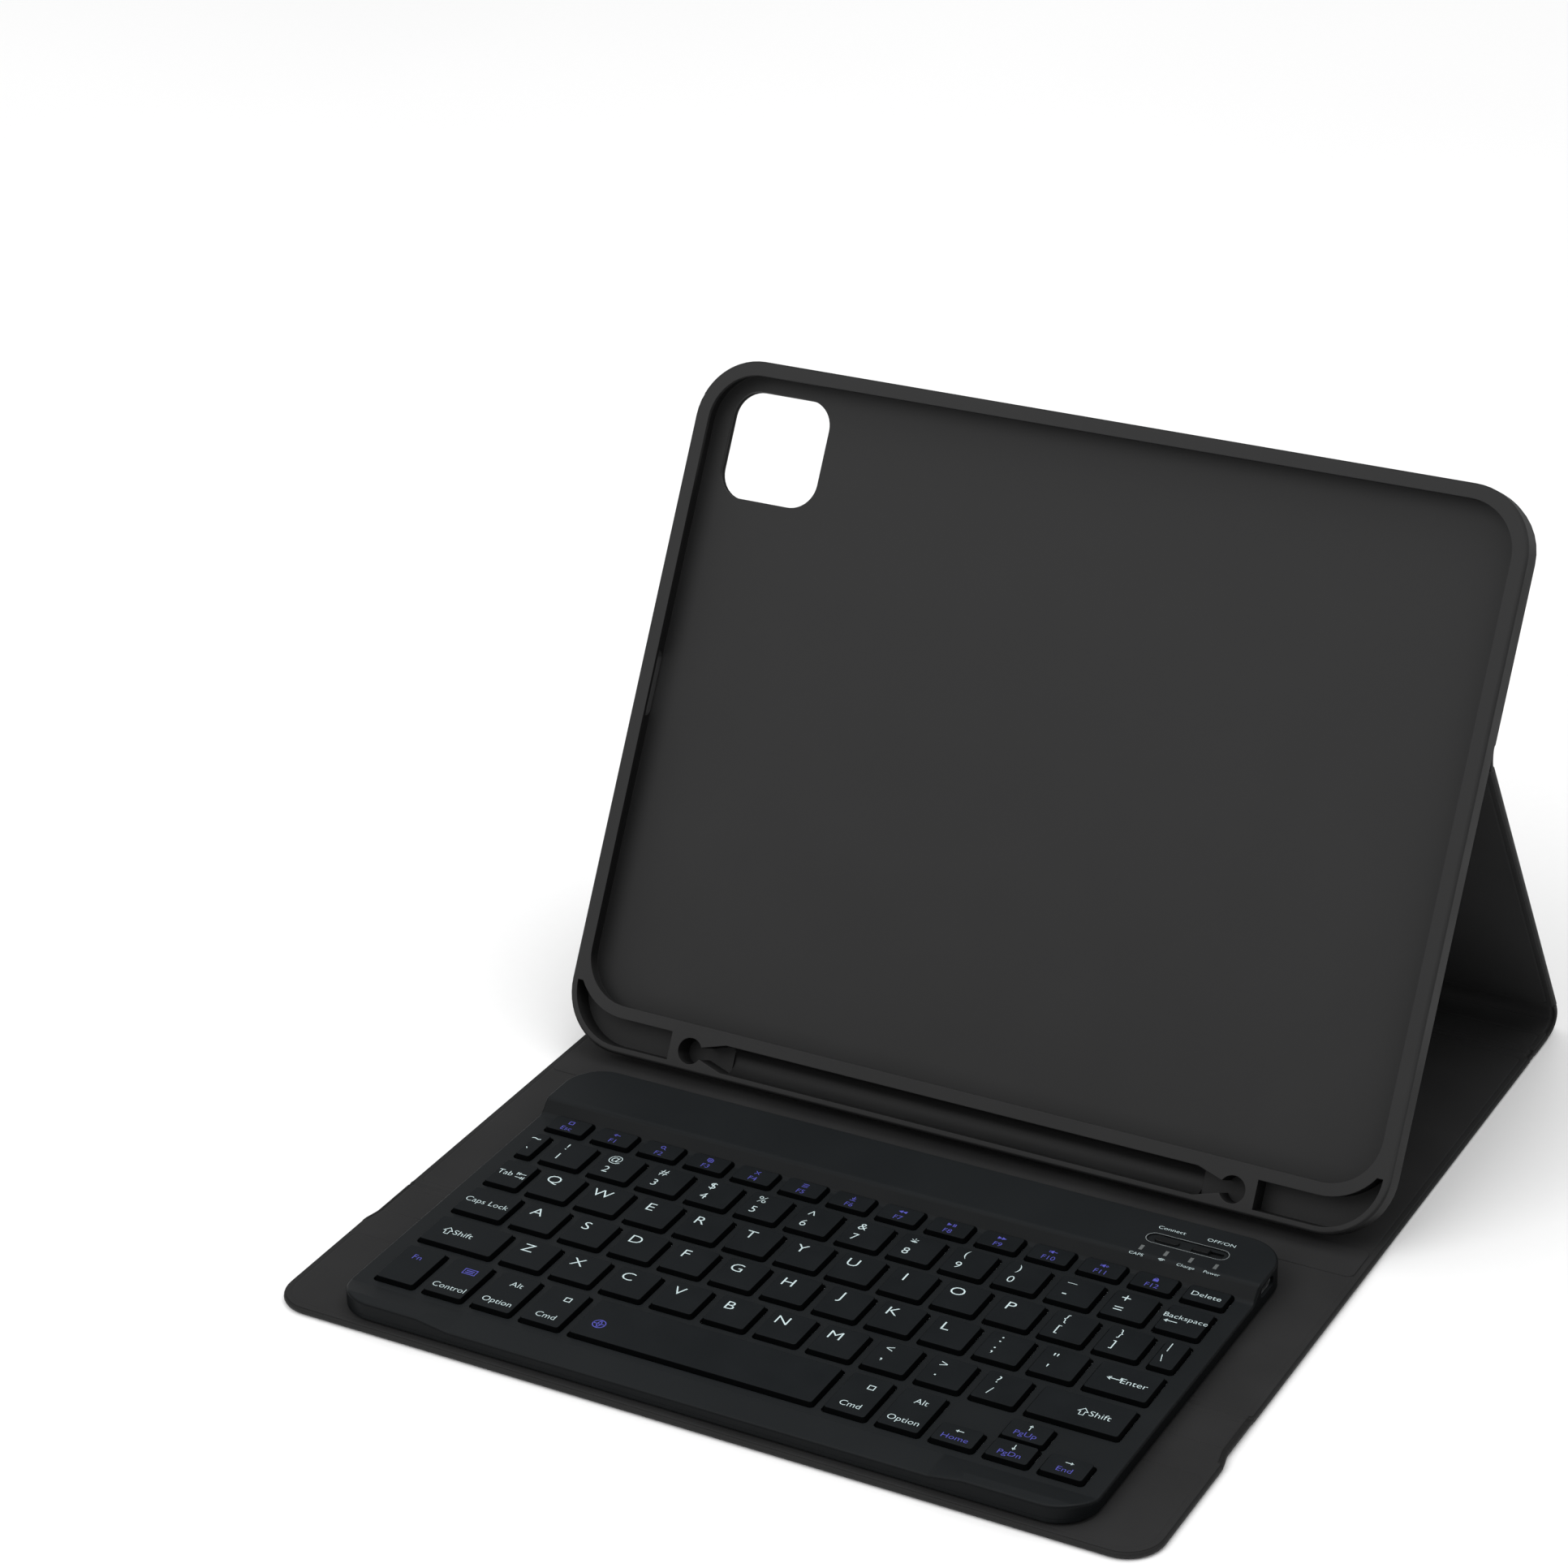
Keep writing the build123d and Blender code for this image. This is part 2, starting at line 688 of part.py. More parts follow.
socket_length = 7.0
with BuildPart() as socket:
    with BuildSketch(Plane.YZ.offset(keyboard_width / 2 - 1.0 - socket_length)):
        with Locations((socket_y, socket_z)):
            SlotOverall(9.0, 3.2)
            SlotOverall(8.2, 2.4, mode=Mode.SUBTRACT)
    extrude(amount=socket_length)
    with BuildSketch(Plane.YZ.offset(keyboard_width / 2 - 1.0 - socket_length)):
        with Locations((socket_y, socket_z)):
            SlotOverall(9.0, 3.2)
    extrude(amount=1)
    with BuildSketch(Plane.YZ.offset(keyboard_width / 2 - socket_length)):
        with Locations((socket_y, socket_z)):
            Rectangle(6.0, 0.7)
    extrude(amount=socket_length - 2)
save(socket.part, "charging_socket")

with BuildPart() as lights:
    with BuildSketch(Plane.XY.offset(keyboard_z + battery_deck_height - 3)):
        with Locations(*light_places):
            Rectangle(light_size[0] - 0.1, light_size[1] - 0.1)
    extrude(amount=3)
save(lights.part, "indicator_lights")

knob_base = keyboard_z + battery_deck_height - deck_thickness - 1.2
with BuildPart() as switch_knob:
    with BuildSketch(Plane.XY.offset(knob_base + 0.1)):
        with Locations((switch_slot_centre[0] - 1.5, switch_slot_centre[1])):
            Rectangle(12, 4.4)
    extrude(amount=0.9)
    with BuildSketch(Plane.XY.offset(knob_base + 0.9)):
        with Locations((switch_slot_centre[0] - 2.0, switch_slot_centre[1])):
            Rectangle(5.0, switch_slot[1] - 0.3)
    extrude(amount=1.6)
save(switch_knob.part, "power_switch_knob")

with BuildPart() as connect_button:
    with BuildSketch(Plane.XY.offset(knob_base - 0.4)):
        with Locations(button_centre):
            SlotOverall(button_hole[0] - 0.3, button_hole[1] - 0.3)
    extrude(amount=2.9)
save(connect_button.part, "connect_button")

# Steel plates in the floor that the cover's magnets hold.
with BuildPart() as hold_plates:
    with BuildSketch(Plane.XY.offset(keyboard_z + bottom_floor)):
        with Locations(*[(x, keyboard_y + holding_row) for x in (-90, -30, 30, 90)]):
            Rectangle(30, 3)
    extrude(amount=0.3)
save(hold_plates.part, "keyboard_holding_plates")

screw_places = [(x, keyboard_y + y) for x in (-screw_x, screw_x) for y in (18, 70, 132)]
with BuildPart() as screws:
    with BuildSketch(Plane.XY.offset(keyboard_z + bottom_floor + 0.02)):
        with Locations(*screw_places):
            Circle(1.7)
    extrude(amount=0.7)
    with BuildSketch(Plane.XY.offset(keyboard_z + bottom_floor + 0.7)):
        with Locations(*screw_places):
            Circle(0.8)
    extrude(amount=1.6)
save(screws.part, "case_screws")
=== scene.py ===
"""Looks of the tablet keyboard case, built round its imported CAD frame. All lengths are metres."""

import json
from math import atan, atan2, ceil, cos, exp, pi, radians, sin, sqrt

import bmesh
import bpy
from mathutils import Matrix, Vector

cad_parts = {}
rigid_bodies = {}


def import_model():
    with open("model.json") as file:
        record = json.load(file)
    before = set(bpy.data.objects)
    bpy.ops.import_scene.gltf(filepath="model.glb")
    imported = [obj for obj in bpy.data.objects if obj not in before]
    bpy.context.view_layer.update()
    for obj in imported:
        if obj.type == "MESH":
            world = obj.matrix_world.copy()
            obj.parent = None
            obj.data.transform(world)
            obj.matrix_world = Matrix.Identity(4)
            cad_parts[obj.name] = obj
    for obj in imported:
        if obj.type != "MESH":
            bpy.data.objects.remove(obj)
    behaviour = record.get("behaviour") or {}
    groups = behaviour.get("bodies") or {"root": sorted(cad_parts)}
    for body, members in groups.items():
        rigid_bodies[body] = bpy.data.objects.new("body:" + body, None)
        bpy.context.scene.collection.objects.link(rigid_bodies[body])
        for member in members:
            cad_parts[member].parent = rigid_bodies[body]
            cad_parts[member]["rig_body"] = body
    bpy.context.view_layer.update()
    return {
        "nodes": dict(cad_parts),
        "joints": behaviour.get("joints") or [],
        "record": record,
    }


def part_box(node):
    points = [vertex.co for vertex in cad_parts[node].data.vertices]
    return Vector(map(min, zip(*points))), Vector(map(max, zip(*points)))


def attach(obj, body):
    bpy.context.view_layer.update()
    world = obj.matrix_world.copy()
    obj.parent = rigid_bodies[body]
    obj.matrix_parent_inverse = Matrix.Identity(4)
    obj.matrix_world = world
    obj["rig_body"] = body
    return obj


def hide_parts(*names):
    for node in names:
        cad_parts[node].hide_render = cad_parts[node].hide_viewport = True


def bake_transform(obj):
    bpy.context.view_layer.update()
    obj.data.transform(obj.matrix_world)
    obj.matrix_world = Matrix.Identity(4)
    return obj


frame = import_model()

MM = 0.001
nodes = frame["nodes"]
pivot = {joint["name"]: Vector(joint.get("pos_m", (0, 0, 0))) for joint in frame["joints"]}

# ---- sizes of the folio
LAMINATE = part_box("front_cover_lining")[1].z
LINING_STEP = 0.25 * MM       # the lining sheet stands this far on the turned-in leather
LINING_ROOT = 0.1 * MM        # and reaches this far into it
TURN_IN = 0.8 * MM            # leather seen round the lining's edge
SQUARE_CORNER = 1.4 * MM      # corners between panels
LINING_CORNER = 0.6 * MM
PANEL_CORNER = 20.0 * MM      # the case's far corners
FLAP_CORNER = 12.0 * MM
COVER_GAP = 0.2 * MM          # between the front cover and its fold lines

BOARD_LINE = 2.6 * MM         # the board's edge shows through this far inside the rim
BOARD_LINE_WIDTH = 1.3 * MM
BOARD_LINE_DEPTH = 0.18 * MM
BOARD_LINE_STEPS = (-0.5, -0.25, -0.1, 0.1, 0.25, 0.5)
BOARD_CORNER = 2.5 * MM
FLAP_BOARD_DEPTH = 43.0 * MM

BAND_THICKNESS = 2.0 * MM
BAND_DROP = 0.06 * MM         # a band's lining lies this far below its neighbours'
OVERLAP = 1.4 * MM            # and the band runs this far under the panel beside it
BEND = 3.0 * MM               # a fold turns over this length on each side of its line
STAND_BEND = 0.3 * MM         # the foot's bend stops here, clear of the folded tray
FOOT_PULL = 5.0 * MM          # how far the foot's bend keeps its ends' directions
TOP_PULL = 1.8 * MM
CREASE_WIDTH = 1.1 * MM
CREASE_DEPTH = 0.3 * MM

TRAY_ANGLE = radians(61.0)
CAMERA_OPENING = 36.0 * MM
CAMERA_OPENING_RADIUS = 9.0 * MM
CAMERA_OPENING_CENTRE = Vector((-116.3 * MM, 53.1 * MM))
FOOT_STRIP_START = -7.5 * MM
FOOT_STRIP_DEPTH = 16.0 * MM
FOOT_STRIP_RISE = 0.3 * MM

# how finely curved shapes are cut up
ARC_STEPS = 10
ROLL_STEPS = 10
BAND_ROLL_STEPS = 6
BAND_SPANS = 48
FOOT_BEND_STEPS = 32
TOP_BEND_STEPS = 20
LEAD_STEPS = 4
SIDE_STEP = 6.0 * MM
STATION_STEP = 0.3 * MM
LEAST_RADIUS = 0.25 * MM
WELD_DISTANCE = 1e-6
SHARP_ANGLE = radians(32.0)

case_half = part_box("front_cover_leather")[1].x
flap_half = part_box("closing_flap_leather")[1].x
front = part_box("closing_flap_leather")[0].y
flap_line = pivot["flap_fold"].y
cover_line = pivot["flap_spine_fold"].y
spine_line = pivot["spine_fold"].y
spine_end = pivot["cover_open"].y
stand_foot = pivot["stand_hinge"]
stand_top = pivot["stand_fold"]
back_spine_end = spine_end - BEND / 2
band_half = case_half - BAND_DROP

# ---- materials
STRETCHED_GRAINS = {          # each noise's stretch, detail and roughness
    "fibre": ((1.0, 0.3, 1.0), 6.0, 0.7),
    "brushed": ((0.03, 1.0, 1.0), 3.0, 0.6),
}
PATCH_SPAN = (0.3, 0.7)       # the part of a noise's values that counts
GRAIN_SPAN = (0.2, 0.8)
ROUGHNESS_SPREAD = 0.05
SHEEN_ROUGHNESS = 0.6
EDGE_START = 0.8


def node_group(material):
    """The material's node tree, emptied down to its Principled shader and output."""
    material.use_nodes = True
    tree = material.node_tree
    tree.nodes.clear()
    output = tree.nodes.new("ShaderNodeOutputMaterial")
    shader = tree.nodes.new("ShaderNodeBsdfPrincipled")
    tree.links.new(shader.outputs["BSDF"], output.inputs["Surface"])
    return tree, shader


def noise_texture(tree, place, size, detail=2.0, roughness=0.5):
    """A noise texture whose features are about this size."""
    texture = tree.nodes.new("ShaderNodeTexNoise")
    texture.inputs["Scale"].default_value = 1.0 / size
    texture.inputs["Detail"].default_value = detail
    texture.inputs["Roughness"].default_value = roughness
    tree.links.new(place, texture.inputs["Vector"])
    return texture.outputs["Fac"]


def remap(tree, value, low, high, start=0.0, end=1.0):
    """Stretch a value from start..end to low..high."""
    node = tree.nodes.new("ShaderNodeMapRange")
    node.inputs["From Min"].default_value = start
    node.inputs["From Max"].default_value = end
    node.inputs["To Min"].default_value = low
    node.inputs["To Max"].default_value = high
    tree.links.new(value, node.inputs["Value"])
    return node.outputs["Result"]


def scaled_colour(tree, colour, factor):
    """A colour made lighter or darker by a factor that varies over the surface."""
    node = tree.nodes.new("ShaderNodeMix")
    node.data_type = "RGBA"
    node.blend_type = "MULTIPLY"
    node.inputs["Factor"].default_value = 1.0
    node.inputs[6].default_value = (*colour, 1.0)
    tree.links.new(factor, node.inputs[7])
    return node.outputs[2]


def product(tree, first, second):
    """Two values multiplied."""
    node = tree.nodes.new("ShaderNodeMath")
    node.operation = "MULTIPLY"
    tree.links.new(first, node.inputs[0])
    tree.links.new(second, node.inputs[1])
    return node.outputs["Value"]


def bump(tree, height, depth, normal=None):
    """A normal that carries a height of up to this depth."""
    node = tree.nodes.new("ShaderNodeBump")
    node.inputs["Strength"].default_value = 1.0
    node.inputs["Distance"].default_value = depth
    tree.links.new(height, node.inputs["Height"])
    if normal is not None:
        tree.links.new(normal, node.inputs["Normal"])
    return node.outputs["Normal"]


def edge_light(tree, reach):
    """1 along edges and 0 on flats, and the normal rounded over that reach."""
    bevel = tree.nodes.new("ShaderNodeBevel")
    bevel.samples = 4
    bevel.inputs["Radius"].default_value = reach
    geometry = tree.nodes.new("ShaderNodeNewGeometry")
    dot = tree.nodes.new("ShaderNodeVectorMath")
    dot.operation = "DOT_PRODUCT"
    tree.links.new(bevel.outputs["Normal"], dot.inputs[0])
    tree.links.new(geometry.outputs["Normal"], dot.inputs[1])
    edge = remap(tree, dot.outputs["Value"], 1.0, 0.0, EDGE_START, 1.0)
    return edge, bevel.outputs["Normal"]


def relief_of(tree, place, grain, size):
    """The height of one kind of grain over the surface."""
    if grain == "pebble":
        cells = tree.nodes.new("ShaderNodeTexVoronoi")
        cells.feature = "SMOOTH_F1"
        cells.inputs["Scale"].default_value = 1.0 / size
        cells.inputs["Smoothness"].default_value = 0.35
        tree.links.new(place, cells.inputs["Vector"])
        return remap(tree, cells.outputs["Distance"], 1.0, 0.0, 0.1, 0.75)
    if grain == "noise":
        return noise_texture(tree, place, size, 4.0, 0.6)
    stretch, detail, roughness = STRETCHED_GRAINS[grain]
    stretched = tree.nodes.new("ShaderNodeMapping")
    stretched.inputs["Scale"].default_value = stretch
    tree.links.new(place, stretched.inputs["Vector"])
    return noise_texture(tree, stretched.outputs["Vector"], size, detail, roughness)


def surface(
    name,
    colour,
    roughness,
    grain_size,
    grain_depth,
    grain="noise",
    variation=0.12,
    specular=0.4,
    sheen=0.0,
    metallic=0.0,
    rounding=0.0,
    edge_lightening=0.0,
    patch_size=0.03,
    painted_side_shade=1.0,
    painted_shade_span=(0.75, 0.97),
):
    """One finish: a base colour, large soft patches in colour and roughness, and a fine grain
    in colour and relief. rounding softens edges, and the edge lightening makes the colour lighter
    along them.
    The side shade is painted shade: faces get darker and duller as the upward part of their normal
    falls through the shade span."""
    material = bpy.data.materials.new(name)
    tree, shader = node_group(material)
    place = tree.nodes.new("ShaderNodeTexCoord").outputs["Object"]
    patches = noise_texture(tree, place, patch_size)
    relief = relief_of(tree, place, grain, grain_size)
    mottle = remap(tree, patches, 1.0 - variation, 1.0 + variation, *PATCH_SPAN)
    speckle = remap(tree, relief, 1.0 - variation / 2, 1.0 + variation / 2, *GRAIN_SPAN)
    factor = product(tree, mottle, speckle)
    normal = None
    if rounding:
        edge_mask, normal = edge_light(tree, rounding)
        # The colour is made lighter along edges.
        if edge_lightening:
            lifted = tree.nodes.new("ShaderNodeMath")
            lifted.operation = "MULTIPLY_ADD"
            lifted.inputs[1].default_value = edge_lightening
            tree.links.new(edge_mask, lifted.inputs[0])
            tree.links.new(factor, lifted.inputs[2])
            factor = lifted.outputs["Value"]
    # Painted shade: the colour darkens and the specular weakens as a face turns away from the top,
    # standing in for the shade on its sides.
    if painted_side_shade < 1.0:
        facing = tree.nodes.new("ShaderNodeSeparateXYZ")
        geometry = tree.nodes.new("ShaderNodeNewGeometry")
        tree.links.new(geometry.outputs["Normal"], facing.inputs["Vector"])
        upward = remap(tree, facing.outputs["Z"], painted_side_shade, 1.0, *painted_shade_span)
        factor = product(tree, factor, upward)
        gloss = remap(tree, facing.outputs["Z"], painted_side_shade * specular, specular, *painted_shade_span)
        tree.links.new(gloss, shader.inputs["Specular IOR Level"])
    tree.links.new(scaled_colour(tree, colour, factor), shader.inputs["Base Color"])
    rough = remap(tree, patches, roughness - ROUGHNESS_SPREAD, roughness + ROUGHNESS_SPREAD,
                  *PATCH_SPAN)
    tree.links.new(rough, shader.inputs["Roughness"])
    tree.links.new(bump(tree, relief, grain_depth, normal), shader.inputs["Normal"])
    shader.inputs["Metallic"].default_value = metallic
    shader.inputs["Specular IOR Level"].default_value = specular
    shader.inputs["Sheen Weight"].default_value = sheen
    shader.inputs["Sheen Roughness"].default_value = SHEEN_ROUGHNESS
    return material


LEATHER = surface(
    "outer_leather", colour=(0.014, 0.014, 0.014), roughness=0.62,
    grain_size=0.7 * MM, grain_depth=0.035 * MM, grain="pebble",
    specular=0.2, variation=0.1,
)
LINING = surface(
    "lining", colour=(0.021, 0.021, 0.0213), roughness=0.85,
    grain_size=0.35 * MM, grain_depth=0.03 * MM, grain="fibre",
    specular=0.12, sheen=0.02, variation=0.1,
)
# Painted shade on the tray's side walls: darker and less glossy than its rim and floor.
TRAY = surface(
    "tray_rubber", colour=(0.0222, 0.0222, 0.0224), roughness=0.58,
    grain_size=0.16 * MM, grain_depth=0.012 * MM,
    specular=0.2, variation=0.07, rounding=0.35 * MM, edge_lightening=0.15,
    painted_side_shade=0.5, painted_shade_span=(0.1, 0.4),
)
# Painted shade on the keyboard's front faces and other steep faces: darker and less glossy the
# further they turn from the top.
KEYBOARD = surface(
    "keyboard_plastic", colour=(0.0106, 0.0124, 0.0137), roughness=0.46,
    grain_size=0.14 * MM, grain_depth=0.008 * MM,
    specular=0.2, variation=0.06, rounding=0.25 * MM, edge_lightening=0.1,
    painted_side_shade=0.4, painted_shade_span=(0.66, 1.0),
)
# Painted shade on the caps' sides: darker and less glossy than their tops.
KEYCAP = surface(
    "keycap_plastic", colour=(0.0094, 0.0112, 0.0126), roughness=0.5,
    grain_size=0.12 * MM, grain_depth=0.006 * MM,
    specular=0.12, variation=0.08, rounding=0.2 * MM, edge_lightening=0.35, patch_size=0.012,
    painted_side_shade=0.15,
)
CONTROL = surface(
    "control_plastic", colour=(0.007, 0.0078, 0.0085), roughness=0.4,
    grain_size=0.12 * MM, grain_depth=0.006 * MM,
    specular=0.45, variation=0.08, rounding=0.15 * MM, edge_lightening=0.4,
)
LIGHT_PIPE = surface(
    "light_pipe", colour=(0.12, 0.13, 0.13), roughness=0.3,
    grain_size=0.3 * MM, grain_depth=0.004 * MM,
    specular=0.5, variation=0.1, rounding=0.1 * MM,
)
FOOT_RUBBER = surface(
    "foot_rubber", colour=(0.01, 0.01, 0.01), roughness=0.8,
    grain_size=0.2 * MM, grain_depth=0.02 * MM,
    specular=0.25, variation=0.1, rounding=0.2 * MM,
)
STEEL = surface(
    "steel", colour=(0.5, 0.51, 0.52), roughness=0.38,
    grain_size=0.25 * MM, grain_depth=0.006 * MM, grain="brushed",
    metallic=1.0, variation=0.12, rounding=0.1 * MM,
)
MAGNET = surface(
    "magnet", colour=(0.6, 0.6, 0.62), roughness=0.22,
    grain_size=0.4 * MM, grain_depth=0.004 * MM,
    metallic=1.0, variation=0.08, rounding=0.1 * MM,
)
BOARD = surface(
    "board", colour=(0.2, 0.165, 0.12), roughness=0.9,
    grain_size=0.5 * MM, grain_depth=0.04 * MM, grain="fibre",
    specular=0.15, variation=0.3,
)
ADHESIVE = surface(
    "adhesive", colour=(0.55, 0.55, 0.52), roughness=0.3,
    grain_size=1.2 * MM, grain_depth=0.02 * MM, specular=0.5, variation=0.1,
)
SILICONE = surface(
    "silicone", colour=(0.5, 0.53, 0.55), roughness=0.45,
    grain_size=0.4 * MM, grain_depth=0.01 * MM, specular=0.4, variation=0.08,
)
FILM = surface(
    "film", colour=(0.5, 0.53, 0.5), roughness=0.25,
    grain_size=2.0 * MM, grain_depth=0.01 * MM, specular=0.5, variation=0.15,
)
SCISSOR = surface(
    "scissor_plastic", colour=(0.6, 0.6, 0.57), roughness=0.5,
    grain_size=0.2 * MM, grain_depth=0.006 * MM,
    specular=0.35, variation=0.06, rounding=0.1 * MM,
)
CIRCUIT = surface(
    "circuit", colour=(0.012, 0.1, 0.035), roughness=0.35,
    grain_size=0.5 * MM, grain_depth=0.015 * MM, specular=0.5, variation=0.35,
)
BATTERY = surface(
    "battery_foil", colour=(0.55, 0.56, 0.57), roughness=0.35,
    grain_size=1.0 * MM, grain_depth=0.03 * MM, metallic=0.9, variation=0.1,
)
WHITE_PRINT = surface(
    "white_print", colour=(0.56, 0.68, 0.69), roughness=0.6,
    grain_size=0.1 * MM, grain_depth=0.003 * MM, specular=0.2, variation=0.08,
)
VIOLET_PRINT = surface(
    "violet_print", colour=(0.085, 0.085, 0.42), roughness=0.6,
    grain_size=0.1 * MM, grain_depth=0.003 * MM, specular=0.2, variation=0.08,
)
SILVER_PRINT = surface(
    "silver_print", colour=(0.42, 0.46, 0.47), roughness=0.35,
    grain_size=0.1 * MM, grain_depth=0.003 * MM, metallic=0.6, variation=0.08,
)

SLOT_MATERIALS = {
    "outer_leather": LEATHER, "lining": LINING, "board": BOARD, "magnet": MAGNET,
    "adhesive": ADHESIVE, "tray_rubber": TRAY, "keyboard_plastic": KEYBOARD,
    "keycap_plastic": KEYCAP, "control_plastic": CONTROL, "light_pipe": LIGHT_PIPE,
    "silicone": SILICONE, "steel": STEEL, "film": FILM, "scissor_plastic": SCISSOR,
    "circuit": CIRCUIT, "battery_foil": BATTERY, "foot_rubber": FOOT_RUBBER,
}

# ---- CAD pieces that stay


def keep_flats_flat(piece):
    """Smooth shading that follows the larger faces."""
    flat = piece.modifiers.new("flat", "WEIGHTED_NORMAL")
    flat.keep_sharp = True


def finish_cad_node(name, material):
    """Give a CAD node its finish and smooth shading, without touching its vertices."""
    piece = nodes[name]
    piece.data.materials.clear()
    piece.data.materials.append(material)
    piece.data.polygons.foreach_set("material_index", [0] * len(piece.data.polygons))
    piece.data.polygons.foreach_set("use_smooth", [True] * len(piece.data.polygons))
    weld = piece.modifiers.new("weld", "WELD")
    weld.merge_threshold = WELD_DISTANCE
    split = piece.modifiers.new("split", "EDGE_SPLIT")
    split.split_angle = SHARP_ANGLE
    keep_flats_flat(piece)


# ---- mesh helpers


def panel_frame(y, z, angle):
    """A panel's frame: x across the case, y along the panel, z out of its lining."""
    return Matrix((
        (1, 0, 0, 0),
        (0, cos(angle), -sin(angle), y),
        (0, sin(angle), cos(angle), z),
        (0, 0, 0, 1),
    ))


def make_piece(name, points, faces, materials, face_materials=None):
    """A smooth-shaded object from points and faces."""
    mesh = bpy.data.meshes.new(name)
    mesh.from_pydata([tuple(point) for point in points], [], faces)
    for material in materials:
        mesh.materials.append(material)
    if face_materials:
        mesh.polygons.foreach_set("material_index", face_materials)
    mesh.update()
    mesh.polygons.foreach_set("use_smooth", [True] * len(mesh.polygons))
    piece = bpy.data.objects.new(name, mesh)
    bpy.context.scene.collection.objects.link(piece)
    return piece


def side_counts(outline):
    """How many steps each side of an outline takes."""
    low, high, _ = outline
    return [ceil((high.x - low.x) / SIDE_STEP), ceil((high.y - low.y) / SIDE_STEP)] * 2


def rounded_outline(outline, inset, counts):
    """Points round a rectangle, anticlockwise, pulled in by inset. Radii go front left, front
    right, back right, back left."""
    low, high, radii = outline
    corners = (
        (low.x, low.y, 1, 1, pi),
        (high.x, low.y, -1, 1, 1.5 * pi),
        (high.x, high.y, -1, -1, 0.0),
        (low.x, high.y, 1, -1, 0.5 * pi),
    )
    arcs = []
    for (x, y, right, up, start), radius in zip(corners, radii):
        radius = max(radius - inset, LEAST_RADIUS)
        centre = Vector((x + right * (inset + radius), y + up * (inset + radius)))
        turns = [start + 0.5 * pi * step / ARC_STEPS for step in range(ARC_STEPS + 1)]
        arcs.append([centre + radius * Vector((cos(turn), sin(turn))) for turn in turns])
    points = []
    for index, arc in enumerate(arcs):
        follow = arcs[(index + 1) % 4][0]
        points.extend(arc)
        points.extend(arc[-1].lerp(follow, step / counts[index])
                      for step in range(1, counts[index]))
    return points


def padded_panel(name, place, rim, thickness, material, board=None, top=0.0, hole=None):
    """A closed sheet with rolled edges. rim, board and hole are each (low, high, radii): the
    sheet's outline, the board pressed into both its faces, and an opening through it."""
    radius = thickness / 2
    roll = []
    for step in range(ROLL_STEPS + 1):
        turn = pi * (step / ROLL_STEPS - 0.5)
        roll.append((radius * (1 - cos(turn)), radius * sin(turn) - radius))
    shell = bmesh.new()
    counts = side_counts(rim)

    def ring(outline, inset, height, counts):
        """A closed loop of vertices at one height."""
        points = rounded_outline(outline, inset, counts)
        return [shell.verts.new(place @ Vector((p.x, p.y, height + top))) for p in points]

    def skin(rings):
        """Quads between each loop and the next."""
        for below, above in zip(rings, rings[1:]):
            for index in range(len(below)):
                follow = (index + 1) % len(below)
                shell.faces.new((below[index], below[follow], above[follow], above[index]))

    def cut_point(loop, side):
        """The loop's vertex on the hole's centre line, in front of it (-1) or behind it (1)."""
        centre = (hole[0] + hole[1]) / 2
        offsets = [(place.inverted() @ vert.co).to_2d() - centre for vert in loop]
        beside = [index for index, offset in enumerate(offsets) if side * offset.y > 0]
        return min(beside, key=lambda index: abs(offsets[index].x))

    def span(loop, first, last):
        """The loop's vertices from one index round to another."""
        return loop[first:last + 1] if first <= last else loop[first:] + loop[:last + 1]

    def cap(outer, inner):
        """Close a loop with one flat face, or with two that meet in front of and behind a
        hole."""
        if not inner:
            shell.faces.new(outer)
            return
        cuts = [(cut_point(outer, side), cut_point(inner, side)) for side in (-1, 1)]
        for (first, hole_first), (last, hole_last) in (cuts, cuts[::-1]):
            round_hole = span(inner, hole_first, hole_last)[::-1]
            shell.faces.new(span(outer, first, last) + round_hole)

    rings = [ring(rim, inset, height, counts) for inset, height in roll]
    if board:
        pressed = [
            (share * BOARD_LINE_WIDTH, BOARD_LINE_DEPTH * (0.5 + 0.5 * cos(2 * pi * share)))
            for share in BOARD_LINE_STEPS
        ]
        under = [ring(board, inset, depth - thickness, counts) for inset, depth in pressed]
        over = [ring(board, inset, -depth, counts) for inset, depth in pressed]
        rings = under[::-1] + rings + over
    skin(rings)
    hole_rings = []
    if hole:
        hole_rings = [ring(hole, -inset, height, side_counts(hole)) for inset, height in roll]
    skin(hole_rings)
    for end in (0, -1):
        cap(rings[end], hole_rings[end] if hole else None)
    bmesh.ops.recalc_face_normals(shell, faces=shell.faces)
    for face in shell.faces:
        face.smooth = True
    mesh = bpy.data.meshes.new(name)
    shell.to_mesh(mesh)
    shell.free()
    mesh.materials.append(material)
    piece = bpy.data.objects.new(name, mesh)
    bpy.context.scene.collection.objects.link(piece)
    keep_flats_flat(piece)
    return piece


def sheet_section(half):
    """A soft sheet's cross-section: (x, height) steps, anticlockwise, and which are lining."""
    radius = BAND_THICKNESS / 2
    inner = half - radius
    reach = inner - 2 * TURN_IN
    across = [-inner, -inner + TURN_IN - LINING_ROOT, -inner + TURN_IN]
    across += [reach * (2 * step / BAND_SPANS - 1) for step in range(BAND_SPANS + 1)]
    across += [inner - TURN_IN, inner - TURN_IN + LINING_ROOT, inner]
    top, lined = [], []
    for index, x in enumerate(across):
        lowered = 0.0 if 2 <= index < len(across) - 2 else -LINING_STEP
        top.append((x, lowered))
        lined.append(2 <= index < len(across) - 3)
    right = []
    for step in range(1, BAND_ROLL_STEPS):
        turn = 0.5 * pi - pi * step / BAND_ROLL_STEPS
        right.append((inner + radius * cos(turn), radius * sin(turn) - radius))
    bottom = [(x, -BAND_THICKNESS) for x in reversed(across)]
    left = [(-x, height) for x, height in reversed(right)]
    section = top + right + bottom + left
    lined += [False] * (len(section) - len(lined))
    return section, lined


